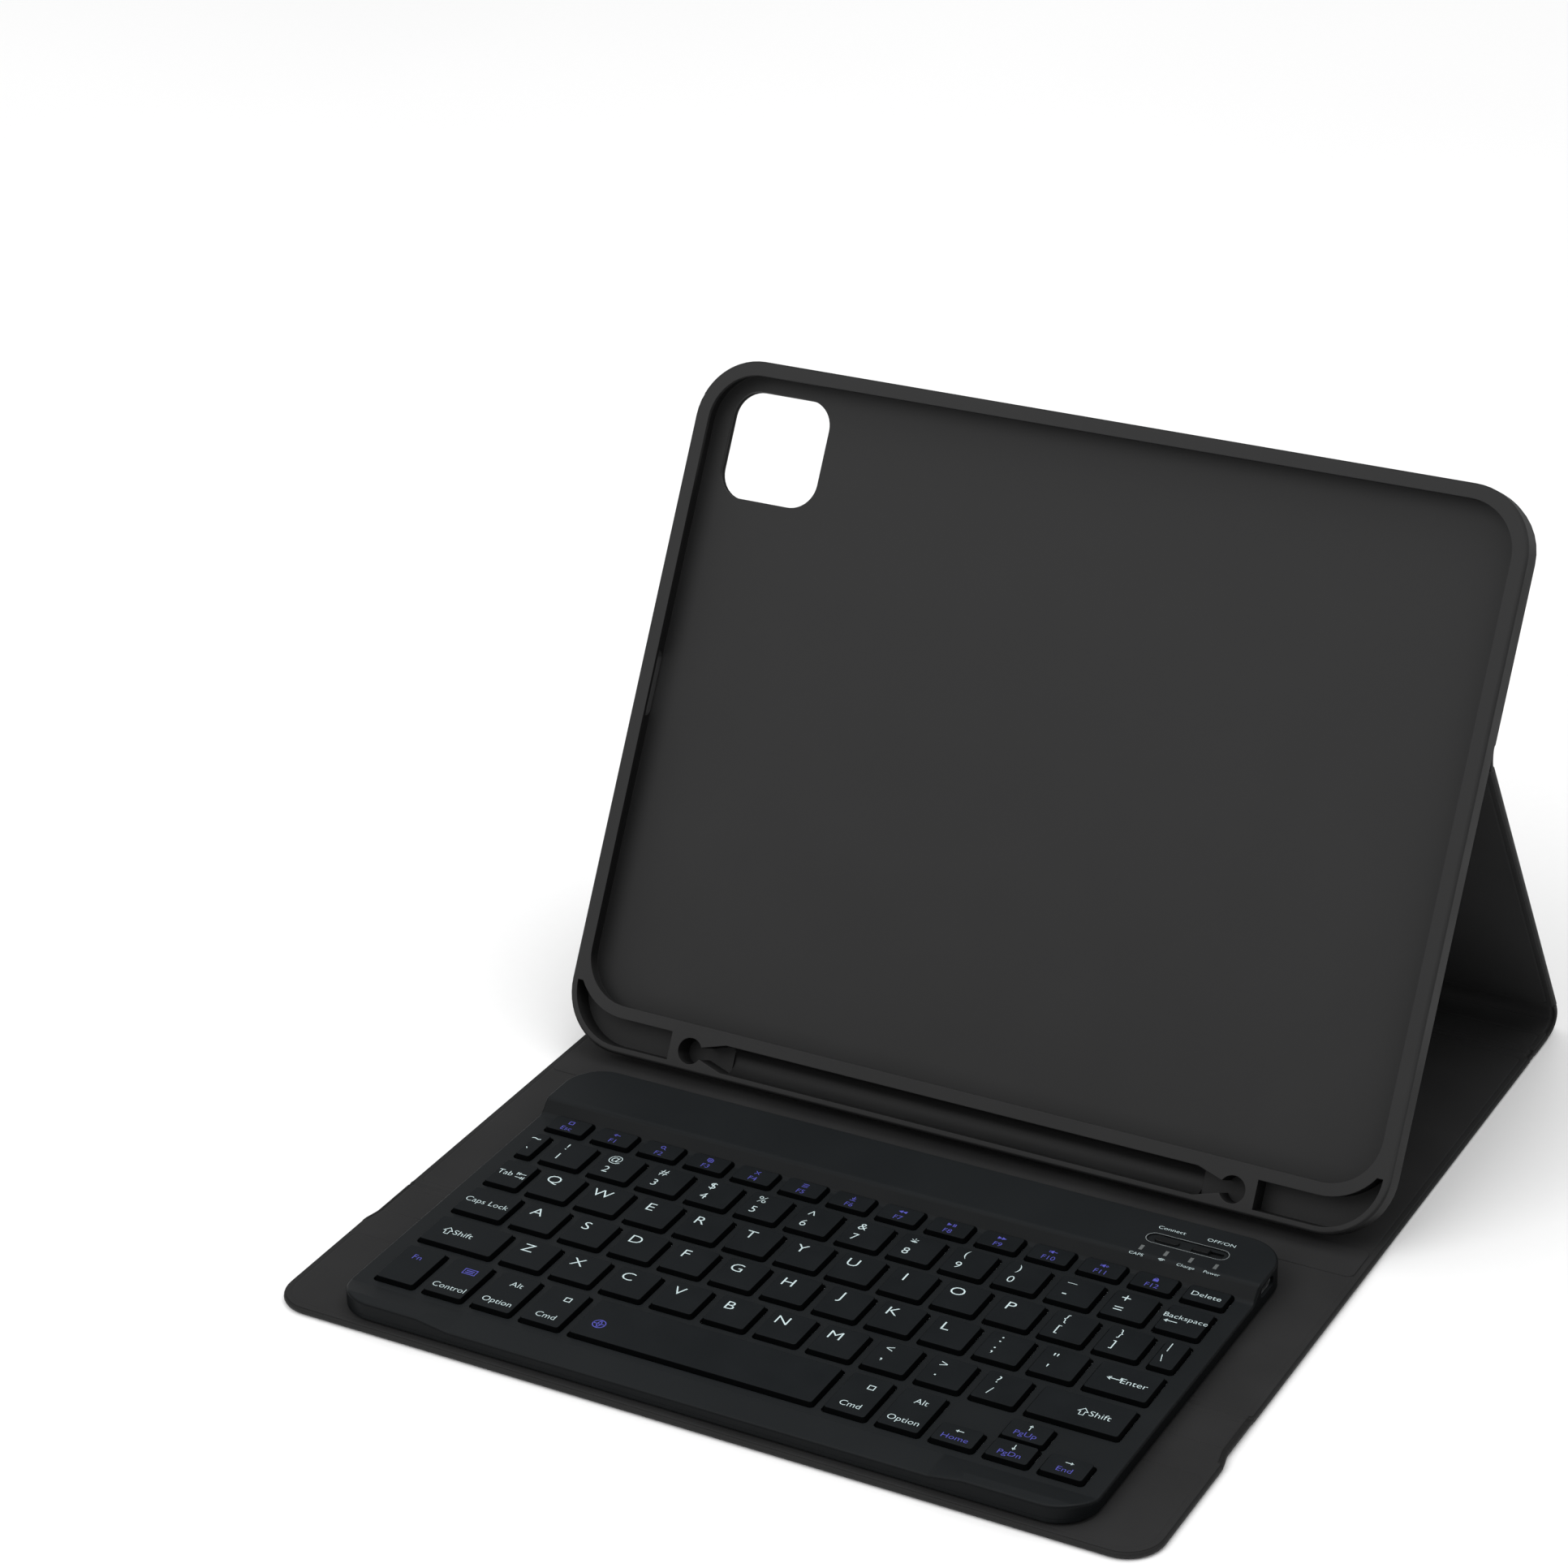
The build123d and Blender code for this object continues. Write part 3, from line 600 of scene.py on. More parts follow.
def soft_sheet(name, stations):
    """Leather and lining with no board, swept through stations of (y, z, angle, half width).
    Each station is on the sheet's lining side."""
    points, faces, face_materials = [], [], []
    for y, z, angle, half in stations:
        place = panel_frame(y, z, angle)
        section, lined = sheet_section(half)
        points.extend(place @ Vector((x, 0, height)) for x, height in section)
    count = len(section)
    for row in range(len(stations) - 1):
        for index in range(count):
            follow = (index + 1) % count
            near, far = row * count + index, row * count + follow
            faces.append((near, near + count, far + count, far))
            face_materials.append(int(lined[index]))
    last = (len(stations) - 1) * count
    faces.append(tuple(range(count)))
    faces.append(tuple(last + index for index in reversed(range(count))))
    face_materials += [0, 0]
    return make_piece(name, points, faces, [LEATHER, LINING], face_materials)


def flat_stations(start, end, half_start, half_end, creases=()):
    """Stations over a flat stretch of the base, its half width easing from start to end, with
    a pressed crease at each of the given places."""
    count = ceil((end - start) / STATION_STEP)
    stations = []
    for index in range(count + 1):
        share = index / count
        ease = share * share * (3 - 2 * share)
        y = start + (end - start) * share
        sunk = sum(CREASE_DEPTH * exp(-(((y - line) / (0.5 * CREASE_WIDTH)) ** 2))
                   for line in creases)
        half = half_start + (half_end - half_start) * ease
        stations.append((y, LAMINATE - BAND_DROP - sunk, 0.0, half))
    return stations


# ---- folio panels
base_place = panel_frame(0, LAMINATE, 0)
rise = stand_top - stand_foot
stand_length = sqrt(rise.y**2 + rise.z**2 - LAMINATE**2)
stand_angle = atan2(rise.z, rise.y) + atan(LAMINATE / stand_length)
stand_place = panel_frame(stand_foot.y, stand_foot.z, stand_angle)
stand_end = stand_length - BEND
upper_normal = Vector((0, -sin(TRAY_ANGLE), cos(TRAY_ANGLE)))
upper_start = stand_top + LAMINATE * upper_normal
upper_place = panel_frame(upper_start.y, upper_start.z, TRAY_ANGLE)
upper_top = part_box("upper_panel_leather")[1].z
upper_length = (upper_top - stand_top.z) / sin(TRAY_ANGLE)


def panel(node, body, place, half, start, end, radii, board_end=None, hole=None):
    """One board panel of the folio: a padded leather shell with its lining sheet on top.
    board_end is where its board stops, if that is short of the panel's end."""
    low, high = Vector((-half, start)), Vector((half, end))
    line = Vector((BOARD_LINE, BOARD_LINE))
    board_high = high - line
    if board_end:
        board_high.y = board_end
    board_radii = [max(radius - BOARD_LINE, BOARD_CORNER) for radius in radii]
    board = (low + line, board_high, board_radii)
    shell = padded_panel(
        node + "_shell", place, (low, high, radii), LAMINATE - LINING_STEP, LEATHER,
        board=board, top=-LINING_STEP, hole=hole,
    )
    inset = Vector((TURN_IN, TURN_IN))
    lining_radii = [max(radius - TURN_IN, LINING_CORNER) for radius in radii]
    if hole:
        hole = (hole[0] - inset, hole[1] + inset, [radius + TURN_IN for radius in hole[2]])
    lining = padded_panel(
        node + "_lining_sheet", place, (low + inset, high - inset, lining_radii),
        LINING_STEP + LINING_ROOT, LINING, board=board, hole=hole,
    )
    layers = ((shell, "leather", "outer_leather"), (lining, "lining", "lining"))
    for piece, layer, slot in layers:
        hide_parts(f"{node}_{layer}")
        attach(piece, body)


square = (SQUARE_CORNER,) * 4
panel("front_cover", "front_cover", base_place, case_half,
      cover_line + COVER_GAP, spine_line - COVER_GAP, square)
panel("closing_flap", "closing_flap", base_place, flap_half, front, flap_line - BEND,
      (FLAP_CORNER, FLAP_CORNER, SQUARE_CORNER, SQUARE_CORNER),
      board_end=front + FLAP_BOARD_DEPTH)
panel("back_spine", "back_spine", base_place, case_half,
      spine_line + BEND, back_spine_end, square)
panel("stand_panel", "stand_panel", stand_place, case_half, STAND_BEND, stand_end, square)
opening = Vector((CAMERA_OPENING, CAMERA_OPENING)) / 2
panel("upper_panel", "tray", upper_place, case_half, BEND, upper_length,
      (SQUARE_CORNER, SQUARE_CORNER, PANEL_CORNER, PANEL_CORNER),
      hole=(CAMERA_OPENING_CENTRE - opening, CAMERA_OPENING_CENTRE + opening,
            (CAMERA_OPENING_RADIUS,) * 4))

# A strip under the lining that the tray's foot stands behind.
foot_strip = padded_panel(
    "foot_strip", base_place,
    (Vector((-case_half + BOARD_LINE, FOOT_STRIP_START)),
     Vector((case_half - BOARD_LINE, FOOT_STRIP_START + FOOT_STRIP_DEPTH)), (BOARD_CORNER,) * 4),
    2 * FOOT_STRIP_RISE, LINING, top=FOOT_STRIP_RISE,
)
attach(foot_strip, "front_cover")

# ---- soft bands and creases


def band(name, start, end, half_start, half_end, creases=()):
    """One flat stretch of leather and lining with no board."""
    piece = soft_sheet(name, flat_stations(start, end, half_start, half_end, creases))
    return piece


def bend_between(piece):
    """Bake the piece's place into its mesh."""
    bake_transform(piece)


flap_crease = band("flap_crease", flap_line - BEND - OVERLAP, flap_line + BEND,
                   flap_half - BAND_DROP, band_half)
bend_between(flap_crease)
spine_band = band("flap_spine_soft_band", flap_line + BEND, cover_line - BEND,
                  band_half, band_half)
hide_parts("flap_spine_leather", "flap_spine_lining")
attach(spine_band, "flap_spine")
cover_crease = band("front_cover_crease", cover_line - BEND, cover_line + OVERLAP,
                    band_half, band_half, creases=(cover_line,))
bend_between(cover_crease)
spine_crease = band("back_spine_crease", spine_line - OVERLAP, spine_line + BEND + OVERLAP,
                    band_half, band_half, creases=(spine_line + BEND / 2,))
bend_between(spine_crease)


def bend_stations(start, start_angle, end, end_angle, pull, count):
    """Stations along one smooth bend between two points, leaving each along its own angle."""
    first, last = Vector(start), Vector(end)
    first_pull = first + pull * Vector((cos(start_angle), sin(start_angle)))
    last_pull = last - pull * Vector((cos(end_angle), sin(end_angle)))
    stations = []
    for index in range(count + 1):
        t = index / count
        point = ((1 - t) ** 3 * first + 3 * (1 - t) ** 2 * t * first_pull
                 + 3 * (1 - t) * t**2 * last_pull + t**3 * last)
        slope = ((1 - t) ** 2 * (first_pull - first) + 2 * (1 - t) * t * (last_pull - first_pull)
                 + t**2 * (last - last_pull))
        stations.append((point.x, point.y, atan2(slope.y, slope.x), band_half))
    return stations


def on_panel(place, along):
    """The (y, z) of a point that far along a panel, at a band's lining."""
    point = place @ Vector((0, along, -BAND_DROP))
    return point.y, point.z


def straight_stations(place, angle, start, end):
    """Stations along a panel, to carry a band under it."""
    steps = [start + (end - start) * index / LEAD_STEPS for index in range(LEAD_STEPS + 1)]
    return [(*on_panel(place, along), angle, band_half) for along in steps]


foot_bend = bend_stations(
    on_panel(base_place, back_spine_end), 0.0, on_panel(stand_place, STAND_BEND), stand_angle,
    FOOT_PULL, FOOT_BEND_STEPS,
)
middle = len(foot_bend) // 2
lead_in = straight_stations(base_place, 0.0, back_spine_end - OVERLAP, back_spine_end)
lead_out = straight_stations(stand_place, stand_angle, STAND_BEND, STAND_BEND + OVERLAP)
foot_start = soft_sheet("stand_crease_lower_band", lead_in[:-1] + foot_bend[:middle + 1])
foot_end = soft_sheet("stand_crease_upper_band", foot_bend[middle:] + lead_out[1:])
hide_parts("stand_crease")
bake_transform(foot_start)
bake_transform(foot_end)

top_bend = bend_stations(
    on_panel(stand_place, stand_end), stand_angle, on_panel(upper_place, BEND), TRAY_ANGLE,
    TOP_PULL, TOP_BEND_STEPS,
)
stand_lead = straight_stations(stand_place, stand_angle, stand_end - OVERLAP, stand_end)
upper_lead = straight_stations(upper_place, TRAY_ANGLE, BEND, BEND + OVERLAP)
back_crease = soft_sheet("back_fold_crease", stand_lead[:-1] + top_bend + upper_lead[1:])
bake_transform(back_crease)

for part in frame["record"]["subparts"]:
    finish_cad_node(part["node"], SLOT_MATERIALS[part["material_slot"]])

# ---- printed legends
PRINT_LIFT = 0.02 * MM
LETTER = 3.9 * MM             # heights of capitals
SYMBOL = 3.3 * MM
SMALL = 2.4 * MM
TINY = 2.1 * MM
DECK_WORD = 1.5 * MM
DECK_LABEL = 1.35 * MM
LOW_SYMBOL_GROWTH = 1.25
STROKE = 0.32 * MM            # widths of drawn lines
OUTLINE = 0.3 * MM
THIN = 0.26 * MM
HAIRLINE = 0.2 * MM
WIDE_LETTER = 1.12            # how far letters are stretched sideways
WIDE_WORD = 1.1
WIDE_LABEL = 1.15
PAIR_SHIFT = -0.18            # of the cap's width, for symbol pairs

# places on a cap, in millimetres from its centre
LETTER_X, LETTER_Y = -2.5, 2.6
PAIR_UPPER_Y, PAIR_LOWER_Y = 3.6, -2.4
PICTURE_Y, PICTURE_LABEL_Y = 1.5, -1.9
MODIFIER_UPPER_Y, MODIFIER_LOWER_Y = 4.6, -5.4


def print_top(name):
    """The height a print lies at on a node's top."""
    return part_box(name)[1].z + PRINT_LIFT


def caps_of(name):
    """(centre, size) of each cap in a key node, left to right."""
    shape = bmesh.new()
    shape.from_mesh(nodes[name].data)
    bmesh.ops.remove_doubles(shape, verts=shape.verts, dist=WELD_DISTANCE)
    left, caps = set(shape.verts), []
    while left:
        island, edge = set(), [left.pop()]
        while edge:
            vert = edge.pop()
            island.add(vert)
            near = {e.other_vert(vert) for e in vert.link_edges} & left
            left -= near
            edge.extend(near)
        xs = [v.co.x for v in island]
        ys = [v.co.y for v in island]
        centre = Vector(((min(xs) + max(xs)) / 2, (min(ys) + max(ys)) / 2))
        caps.append((centre, Vector((max(xs) - min(xs), max(ys) - min(ys)))))
    shape.free()
    return sorted(caps, key=lambda cap: cap[0].x)


def cap_centre(name):
    """The centre of a single key's cap."""
    return caps_of(name)[0][0]


def on_cap(centre, x, y):
    """A place on a cap, in millimetres from its centre."""
    return Vector(centre) + Vector((x, y)) * MM


class Print:
    """Everything printed in one colour on one body, gathered into one flat mesh."""

    def __init__(self, name, body, height, material):
        self.name, self.body, self.height, self.material = name, body, height, material
        self.points, self.faces, self.words = [], [], []

    def word(self, text, centre, size, stretch=1.0):
        """Queue a word, centred, with capitals of this height."""
        self.words.append((text, Vector(centre), size, stretch))

    def add(self, points, faces):
        """Add flat faces."""
        first = len(self.points)
        self.points.extend(points)
        self.faces.extend(tuple(first + index for index in face) for face in faces)

    def line(self, path, width=STROKE, closed=False):
        """A stroke of constant width along a path."""
        path = [Vector(point) for point in path]
        count = len(path)
        left, right = [], []
        for index, point in enumerate(path):
            before = path[index - 1] if index or closed else point
            after = path[(index + 1) % count] if index < count - 1 or closed else point
            arrive = (point - before).normalized() if point != before else None
            leave = (after - point).normalized() if after != point else None
            along = ((arrive or leave) + (leave or arrive)).normalized()
            reference = arrive or leave
            across = Vector((-along.y, along.x))
            mitre = max(across.dot(Vector((-reference.y, reference.x))), 0.35)
            left.append(point + across * width / 2 / mitre)
            right.append(point - across * width / 2 / mitre)
        spans = count if closed else count - 1
        faces = []
        for index in range(spans):
            follow = (index + 1) % count
            faces.append((count + index, count + follow, follow, index))
        self.add(left + right, faces)

    def polygon(self, corners):
        """A filled outline."""
        self.add([Vector(corner) for corner in corners], [tuple(range(len(corners)))])

    def finish(self, letter_shapes, capital_height):
        """Turn words into faces and link the mesh."""
        for text, centre, size, stretch in self.words:
            letters, faces = letter_shapes[text]
            low = Vector((min(p.x for p in letters), min(p.y for p in letters)))
            high = Vector((max(p.x for p in letters), max(p.y for p in letters)))
            middle = (low + high) / 2
            if len(text) > 1:
                middle.y = capital_height / 2
            scale = size / capital_height
            placed = []
            for point in letters:
                shift = (point - middle) * scale
                placed.append(Vector((centre.x + shift.x * stretch, centre.y + shift.y)))
            self.add(placed, faces)
        points = [(p.x, p.y, self.height) for p in self.points]
        piece = make_piece(self.name, points, self.faces, [self.material])
        piece.data.polygons.foreach_set("use_smooth", [False] * len(piece.data.polygons))
        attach(piece, self.body)
        return piece


def shape_letters(texts):
    """Flat points and faces of each text at font size 1."""
    made = {}
    for text in sorted(texts):
        curve = bpy.data.curves.new("legend", "FONT")
        curve.body = text
        curve.size = 1.0
        curve.resolution_u = 3
        curve.offset = -0.01
        made[text] = bpy.data.objects.new("legend", curve)
        bpy.context.scene.collection.objects.link(made[text])
    bpy.context.view_layer.update()
    depsgraph = bpy.context.evaluated_depsgraph_get()
    shapes = {}
    for text, piece in made.items():
        mesh = bpy.data.meshes.new_from_object(piece.evaluated_get(depsgraph))
        shapes[text] = (
            [Vector((v.co.x, v.co.y)) for v in mesh.vertices],
            [tuple(polygon.vertices) for polygon in mesh.polygons],
        )
        bpy.data.meshes.remove(mesh)
        curve = piece.data
        bpy.data.objects.remove(piece)
        bpy.data.curves.remove(curve)
    return shapes


def circle_path(centre, radius, start=0.0, end=2 * pi, steps=20):
    """Points round a circle or an arc."""
    turns = [start + (end - start) * step / steps for step in range(steps + 1)]
    return [Vector(centre) + radius * Vector((cos(t), sin(t))) for t in turns]


def arrow(ink, tail, head, barb=0.9 * MM, width=STROKE):
    """A straight arrow."""
    tail, head = Vector(tail), Vector(head)
    along = (head - tail).normalized()
    across = Vector((-along.y, along.x))
    back = head - along * barb
    ink.line([tail, head], width)
    ink.line([back + across * barb * 0.7, head, back - across * barb * 0.7], width)


def triangle(ink, centre, size, direction):
    """A small filled triangle pointing left or right."""
    x, y = centre
    ink.polygon([
        (x + direction * size / 2, y),
        (x - direction * size / 2, y + size / 2),
        (x - direction * size / 2, y - size / 2),
    ][::-direction])


def box_path(centre, width, height):
    """The corners of a small rectangle."""
    x, y = centre
    half_w, half_h = width / 2, height / 2
    return [(x - half_w, y - half_h), (x + half_w, y - half_h),
            (x + half_w, y + half_h), (x - half_w, y + half_h)]


def shift_arrow(ink, centre):
    """An outlined arrow that points up."""
    x, y = centre
    wide, tall, stem = 1.5 * MM, 1.7 * MM, 0.7 * MM
    ink.line([
        (x, y + tall), (x - wide, y), (x - stem, y), (x - stem, y - tall),
        (x + stem, y - tall), (x + stem, y), (x + wide, y),
    ], width=0.24 * MM, closed=True)


def function_mark(ink, kind, centre):
    """A plain small picture for a function key, drawn in millimetres about its centre."""

    def stroke(*places, width=THIN):
        ink.line([on_cap(centre, x, y) for x, y in places], width)

    def square_outline(x, y, side):
        ink.line(box_path(on_cap(centre, x, y), side * MM, side * MM), THIN, closed=True)

    def pointer(x, size, direction):
        triangle(ink, on_cap(centre, x, 0), size * MM, direction)

    if kind == "home":
        square_outline(0, 0, 1.54)
    elif kind == "back":
        arrow(ink, on_cap(centre, 1.1, 0), on_cap(centre, -1.1, 0), width=THIN)
    elif kind == "find":
        ink.line(circle_path(on_cap(centre, -0.2, 0.2), 0.704 * MM), THIN)
        stroke((0.35, -0.35), (1.1, -1.1))
    elif kind == "copy":
        square_outline(-0.3, 0.3, 1.32)
        square_outline(0.3, -0.3, 1.32)
    elif kind == "cut":
        stroke((-0.8, -0.8), (0.8, 0.9))
        stroke((-0.8, 0.9), (0.8, -0.8))
    elif kind == "list":
        for height in (-0.8, 0, 0.8):
            stroke((-1.0, height), (1.0, height))
    elif kind == "save":
        arrow(ink, on_cap(centre, 0, 1.1), on_cap(centre, 0, -0.6), width=THIN)
        stroke((-1.0, -1.1), (1.0, -1.1))
    elif kind in ("earlier", "later"):
        way = -1 if kind == "earlier" else 1
        pointer(-0.7, 1.4, way)
        pointer(0.7, 1.4, way)
    elif kind == "play":
        pointer(-0.8, 1.5, 1)
        for x in (0.5, 1.1):
            stroke((x, -0.75), (x, 0.75), width=0.34 * MM)
    elif kind in ("quieter", "louder"):
        ink.polygon(box_path(on_cap(centre, -0.9, 0), 0.6 * MM, 0.9 * MM))
        pointer(-0.5, 1.6, -1)
        stroke((0.5, 0), (1.5, 0))
        if kind == "louder":
            stroke((1.0, -0.5), (1.0, 0.5))
    elif kind == "lock":
        ink.polygon(box_path(on_cap(centre, 0, -0.4), 1.7 * MM, 1.2 * MM))
        ink.line(circle_path(on_cap(centre, 0, 0.2), 0.55 * MM, 0, pi, 8), THIN)


prints = {}


def ink_for(node, colour):
    """The print of one colour on the body a key node belongs to."""
    body = nodes[node]["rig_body"]
    key = (body, colour)
    if key not in prints:
        material = {"white": WHITE_PRINT, "violet": VIOLET_PRINT, "silver": SILVER_PRINT}[colour]
        prints[key] = Print(f"{node}_{colour}_print", body, print_top(node), material)
    return prints[key]


def letter_row(node, letters, pairs):
    """Print one letter per cap, then symbol pairs on the caps that are left."""
    ink = ink_for(node, "white")
    caps = caps_of(node)
    for (centre, _), letter in zip(caps, letters):
        ink.word(letter, on_cap(centre, LETTER_X, LETTER_Y), LETTER, WIDE_LETTER)
    for (centre, size), (upper, lower) in zip(caps[len(letters):], pairs):
        left = PAIR_SHIFT * size.x / MM
        ink.word(upper, on_cap(centre, left, PAIR_UPPER_Y), symbol_size(upper))
        ink.word(lower, on_cap(centre, left, PAIR_LOWER_Y), symbol_size(lower))


def symbol_size(mark):
    """Marks are scaled by the height of a capital, so low ones are set a little larger."""
    return SYMBOL * (LOW_SYMBOL_GROWTH if mark in ",.;:'\"-_=+~^*`" else 1.0)


letter_row("upper_letter_keys", "QWERTYUIOP", [("{", "["), ("}", "]"), ("|", "\\")])
letter_row("middle_letter_keys", "ASDFGHJKL", [(":", ";"), ("\"", "'")])
letter_row("lower_letter_keys", "ZXCVBNM", [("<", ","), (">", "."), ("?", "/")])
letter_row("number_row_keys", "", list(zip("~!@#$%^&*()_+", "`1234567890-=")))

ink = ink_for("function_keys", "violet")
marks = ["back", "find", "copy", "cut", "list", "save", "earlier", "play", "later",
         "quieter", "louder", "lock"]
for index, ((centre, _), mark) in enumerate(zip(caps_of("function_keys"), marks)):
    function_mark(ink, mark, on_cap(centre, 0, PICTURE_Y))
    ink.word(f"F{index + 1}", on_cap(centre, 0, PICTURE_LABEL_Y), TINY)
ink = ink_for("esc_key", "violet")
centre = cap_centre("esc_key")
function_mark(ink, "home", on_cap(centre, 0, PICTURE_Y))
ink.word("Esc", on_cap(centre, 0, PICTURE_LABEL_Y), TINY)
ink_for("delete_key", "white").word("Delete", cap_centre("delete_key"), TINY, WIDE_LABEL)

# Tab: the word, then two arrows that each end at a stop.
centre = cap_centre("tab_key")
ink = ink_for("tab_key", "white")
ink.word("Tab", on_cap(centre, -2.2, 0), SMALL)
for height, way in ((1.0, -1), (-1.0, 1)):
    tail, head = on_cap(centre, 3.2 - way * 1.5, height), on_cap(centre, 3.2 + way * 1.3, height)
    arrow(ink, tail, head, barb=0.8 * MM, width=THIN)
    ink.line([on_cap(head, way * 0.25, -0.8), on_cap(head, way * 0.25, 0.8)], THIN)

ink = ink_for("caps_lock_key", "white")
ink.word("Caps Lock", on_cap(cap_centre("caps_lock_key"), -0.2, 0), SMALL)
for node, arrow_x in (("left_shift_key", -6.5), ("right_shift_key", 0.5)):
    centre = cap_centre(node)
    ink = ink_for(node, "white")
    shift_arrow(ink, on_cap(centre, arrow_x, 0))
    ink.word("Shift", on_cap(centre, arrow_x + 5.4, 0), SMALL, WIDE_WORD)

# Enter: an arrow with its tail turned up, then the word.
centre = cap_centre("enter_key")
ink = ink_for("enter_key", "white")
arrow(ink, on_cap(centre, -1.2, 0), on_cap(centre, -5.2, 0), barb=1.1 * MM)
ink.line([on_cap(centre, -1.2, 0), on_cap(centre, -1.2, 1.3)])
ink.word("Enter", on_cap(centre, 3.2, 0), SMALL, WIDE_WORD)
centre = cap_centre("backspace_key")
ink = ink_for("backspace_key", "white")
ink.word("Backspace", on_cap(centre, 0, 1.2), TINY, WIDE_WORD)
arrow(ink, on_cap(centre, -1.6, -1.8), on_cap(centre, -5.6, -1.8))

ink_for("fn_key", "violet").word("Fn", on_cap(cap_centre("fn_key"), -0.5, 4.2), SMALL)


def modifier(ink, centre, upper, lower):
    """A modifier cap with a word, or a plain square, above its lower word."""
    if upper:
        ink.word(upper, on_cap(centre, 0.8, MODIFIER_UPPER_Y), SMALL)
    else:
        ink.line(box_path(on_cap(centre, 1.6, MODIFIER_UPPER_Y), 1.9 * MM, 1.9 * MM), OUTLINE,
                 closed=True)
    ink.word(lower, on_cap(centre, 0, MODIFIER_LOWER_Y), SMALL)


caps = caps_of("left_modifier_keys")
ink = ink_for("left_modifier_keys", "white")
ink.word("Control", on_cap(caps[0][0], 0, MODIFIER_LOWER_Y), SMALL)
modifier(ink, caps[1][0], "Alt", "Option")
modifier(ink, caps[2][0], "", "Cmd")

# A small keyboard on the Control key.
ink = ink_for("left_modifier_keys", "violet")
keyboard_mark = on_cap(caps[0][0], 1.2, 4.4)
ink.line(box_path(keyboard_mark, 4.2 * MM, 2.6 * MM), OUTLINE, closed=True)
for row in (-0.5, 0.4):
    ink.line([on_cap(keyboard_mark, -1.4, row), on_cap(keyboard_mark, 1.4, row)], 0.4 * MM)
caps = caps_of("right_modifier_keys")
ink = ink_for("right_modifier_keys", "white")
modifier(ink, caps[0][0], "", "Cmd")
modifier(ink, caps[1][0], "Alt", "Option")

# A globe at the space key's left end.
GLOBE_RADIUS = 2.0
MERIDIAN_RADIUS, MERIDIAN_SHIFT, MERIDIAN_TURN = 2.2 * MM, 1.6, 0.95
centre, size = caps_of("space_key")[0]
ink = ink_for("space_key", "violet")
globe = on_cap(centre, -size.x / MM / 2 + 6.5, -2.2)
ink.line(circle_path(globe, GLOBE_RADIUS * MM), OUTLINE)
ink.line([on_cap(globe, -GLOBE_RADIUS, 0), on_cap(globe, GLOBE_RADIUS, 0)], OUTLINE)
for side, middle_turn in ((-1, 0), (1, pi)):
    ink.line(circle_path(on_cap(globe, side * MERIDIAN_SHIFT, 0), MERIDIAN_RADIUS,
                         middle_turn - MERIDIAN_TURN, middle_turn + MERIDIAN_TURN, 10), OUTLINE)

for node, text, way in (("home_key", "Home", (-1, 0)), ("page_up_key", "PgUp", (0, 1)),
                        ("page_down_key", "PgDn", (0, -1)), ("end_key", "End", (1, 0))):
    centre = cap_centre(node)
    reach = Vector(way) * 1.2 * MM
    above = on_cap(centre, 0, 1.9)
    arrow(ink_for(node, "white"), above - reach, above + reach, barb=0.7 * MM, width=THIN)
    ink_for(node, "violet").word(text, on_cap(centre, 0, -1.5), TINY, WIDE_WORD)

# ---- marks on the battery deck
WINDOW_SHIFT = 6.6 * MM       # the outline's middle, right of the connect button
WINDOW_REACH = 10.6 * MM      # from there to the centres of its round ends
WINDOW_RADIUS = 2.75 * MM
DECK_WORD_RISE = 6.2 * MM
LABEL_DROP = 2.6 * MM
LIGHT_WIDTH = 1.1 * MM

button_low, button_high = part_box("connect_button")
lights_low, lights_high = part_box("indicator_lights")
window = Vector(((button_low.x + button_high.x) / 2 + WINDOW_SHIFT,
                 (button_low.y + button_high.y) / 2))
reach = Vector((WINDOW_REACH, 0))
ink = ink_for("keyboard_top_case", "silver")
ink.line(circle_path(window + reach, WINDOW_RADIUS, -pi / 2, pi / 2, 12)
         + circle_path(window - reach, WINDOW_RADIUS, pi / 2, 1.5 * pi, 12),
         0.22 * MM, closed=True)
ink = ink_for("keyboard_top_case", "white")
for text, shift in (("Connect", -7.6 * MM), ("OFF/ON", 8.4 * MM)):
    ink.word(text, window + Vector((shift, DECK_WORD_RISE)), DECK_WORD, WIDE_LABEL)

label_y = lights_low.y - LABEL_DROP
light_step = (lights_high.x - lights_low.x - LIGHT_WIDTH) / 3
light_x = [lights_low.x + LIGHT_WIDTH / 2 + light_step * index for index in range(4)]
for x, text in ((light_x[0], "CAPS"), (light_x[2], "Charge"), (light_x[3] + 0.4 * MM, "Power")):
    ink.word(text, (x, label_y), DECK_LABEL)
for radius in (0.5, 1.0, 1.5):
    ink.line(circle_path((light_x[1], label_y - 0.7 * MM), radius * MM, pi / 4, 3 * pi / 4, 6),
             HAIRLINE)

words = {word[0] for ink in prints.values() for word in ink.words}
letter_shapes = shape_letters(words | {"H"})
capital_height = max(point.y for point in letter_shapes["H"][0])
for ink in prints.values():
    ink.finish(letter_shapes, capital_height)

# ---- floor, light and camera


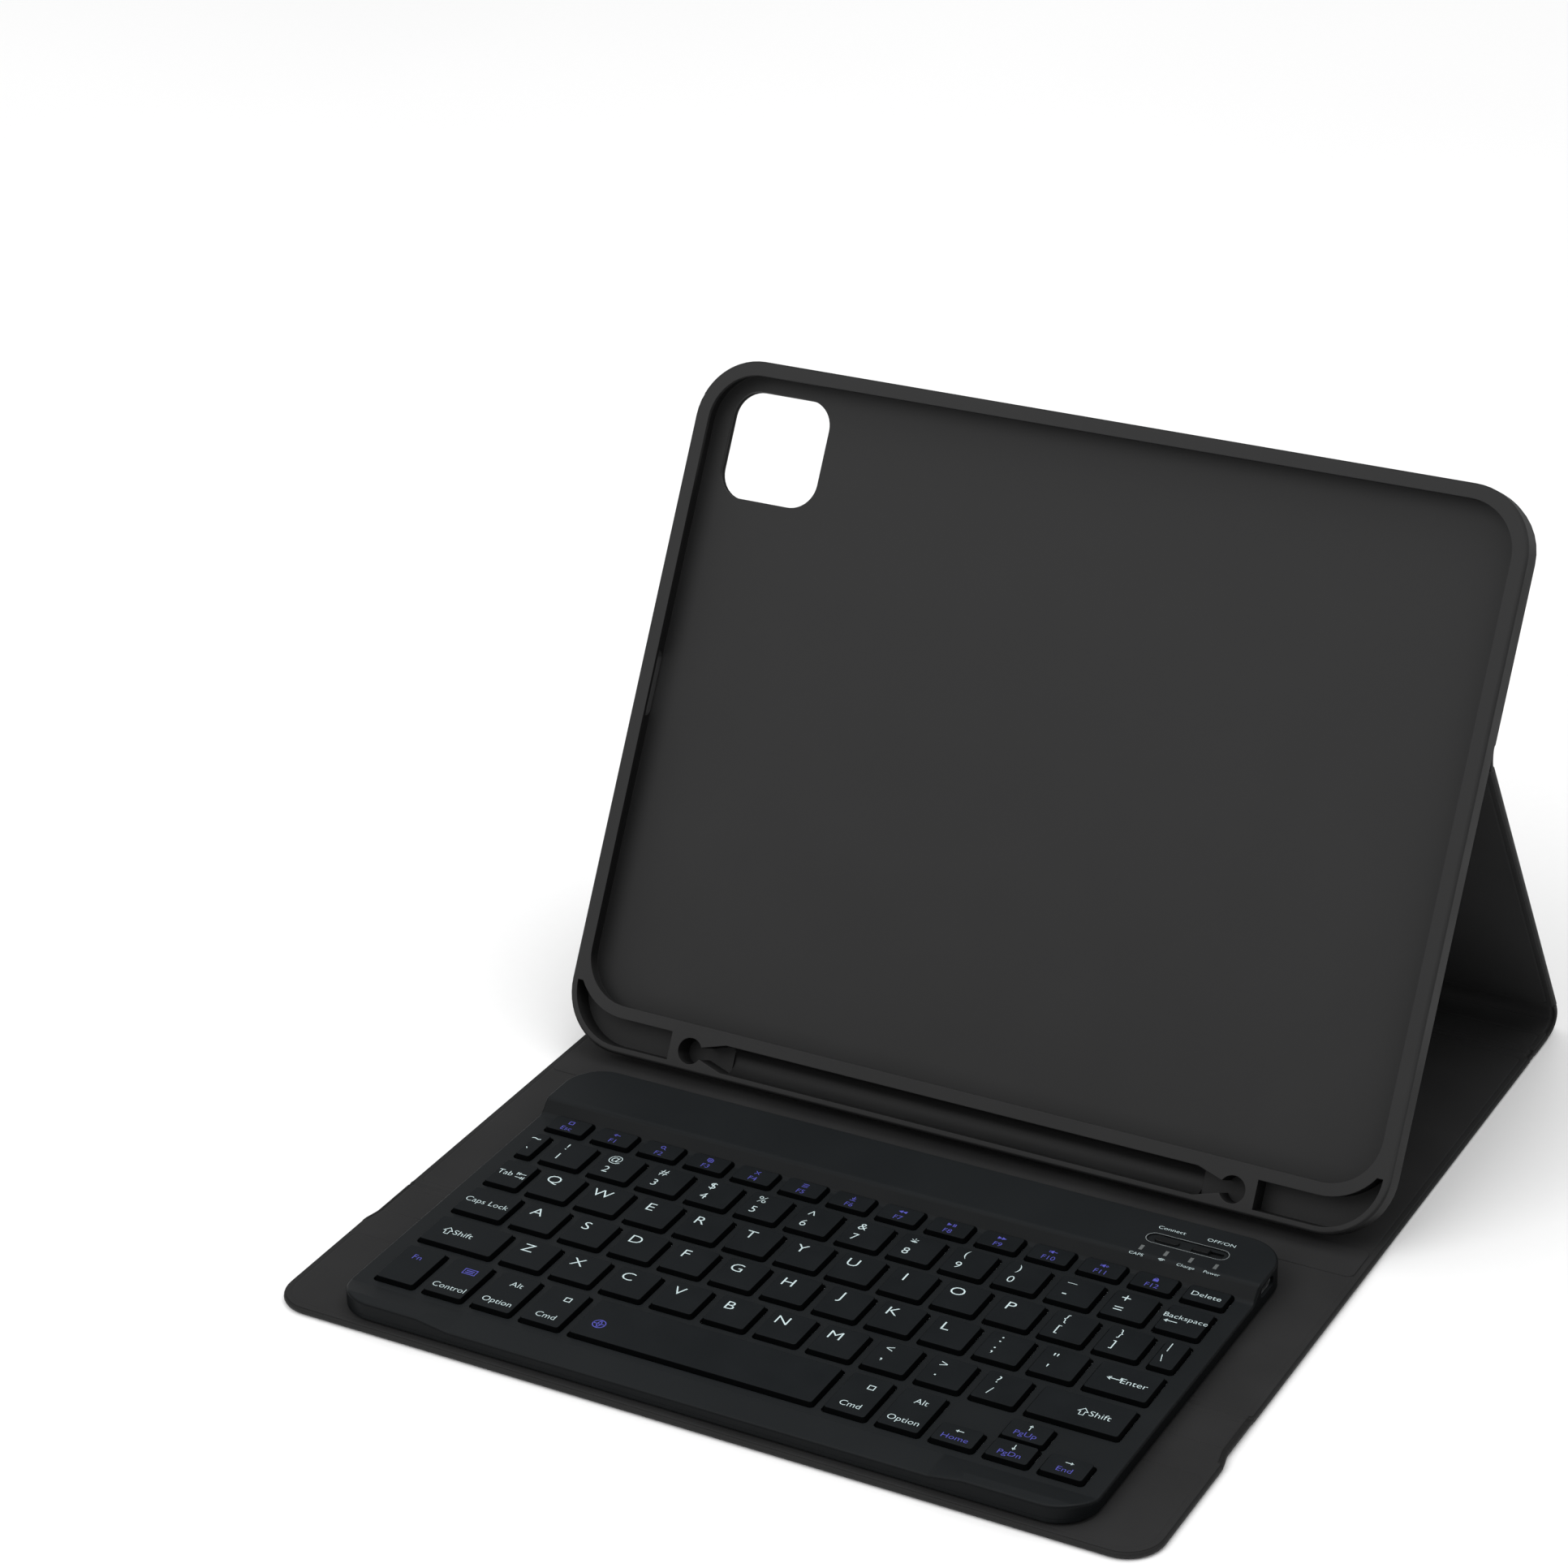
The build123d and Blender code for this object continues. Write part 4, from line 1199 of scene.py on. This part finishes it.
def studio_floor():
    """A wide pale floor."""
    half_side = 12.0
    below = -0.2 * MM
    corners = [(-1, -1), (1, -1), (1, 1), (-1, 1)]
    points = [(x * half_side, y * half_side, below) for x, y in corners]
    paint = surface("floor_paint", colour=(0.9, 0.9, 0.9), roughness=0.8, grain_size=4.0 * MM,
                    grain_depth=0.01 * MM, specular=0.05, variation=0.01, patch_size=0.5)
    make_piece("studio_floor", points, [(0, 1, 2, 3)], [paint])


def soft_light(name, place, target, size, power):
    """A square area light aimed at a point."""
    data = bpy.data.lights.new(name, "AREA")
    data.shape = "SQUARE"
    data.size = size
    data.energy = power
    lamp = bpy.data.objects.new(name, data)
    lamp.location = place
    lamp.rotation_euler = (Vector(target) - Vector(place)).to_track_quat("-Z", "Y").to_euler()
    bpy.context.scene.collection.objects.link(lamp)


def white_world(strength, gloss_strength):
    """An even white surround, weaker where the object's gloss mirrors it."""
    world = bpy.data.worlds.new("studio")
    bpy.context.scene.world = world
    world.use_nodes = True
    background = world.node_tree.nodes["Background"]
    background.inputs["Color"].default_value = (1.0, 1.0, 1.0, 1.0)
    path = world.node_tree.nodes.new("ShaderNodeLightPath")
    power = remap(world.node_tree, path.outputs["Is Glossy Ray"], strength, gloss_strength)
    world.node_tree.links.new(power, background.inputs["Strength"])


def aim_camera():
    """A raised three-quarter view from the front right."""
    place = Vector((0.5160, -1.0181, 0.6898))
    forward = Vector((-0.43942, 0.78442, -0.43770)).normalized()
    right = Vector((0.87721, 0.47964, -0.02108)).normalized()
    up = right.cross(forward)
    data = bpy.data.cameras.new("camera")
    data.lens = 96.63
    data.sensor_width = 36.0
    data.clip_start, data.clip_end = 0.05, 50.0
    camera = bpy.data.objects.new("camera", data)
    camera.matrix_world = Matrix((
        (right.x, up.x, -forward.x, place.x),
        (right.y, up.y, -forward.y, place.y),
        (right.z, up.z, -forward.z, place.z),
        (0, 0, 0, 1),
    ))
    bpy.context.scene.collection.objects.link(camera)
    bpy.context.scene.camera = camera


studio_floor()
white_world(strength=0.9, gloss_strength=0.25)
soft_light("key_light", place=(-0.7, -1.4, 1.7), target=(0, 0, 0.05), size=1.5, power=17.0)
soft_light("top_light", place=(0.4, 0.3, 2.2), target=(0, 0, 0.1), size=1.4, power=10.0)
aim_camera()
bpy.context.scene.view_settings.view_transform = "Standard"
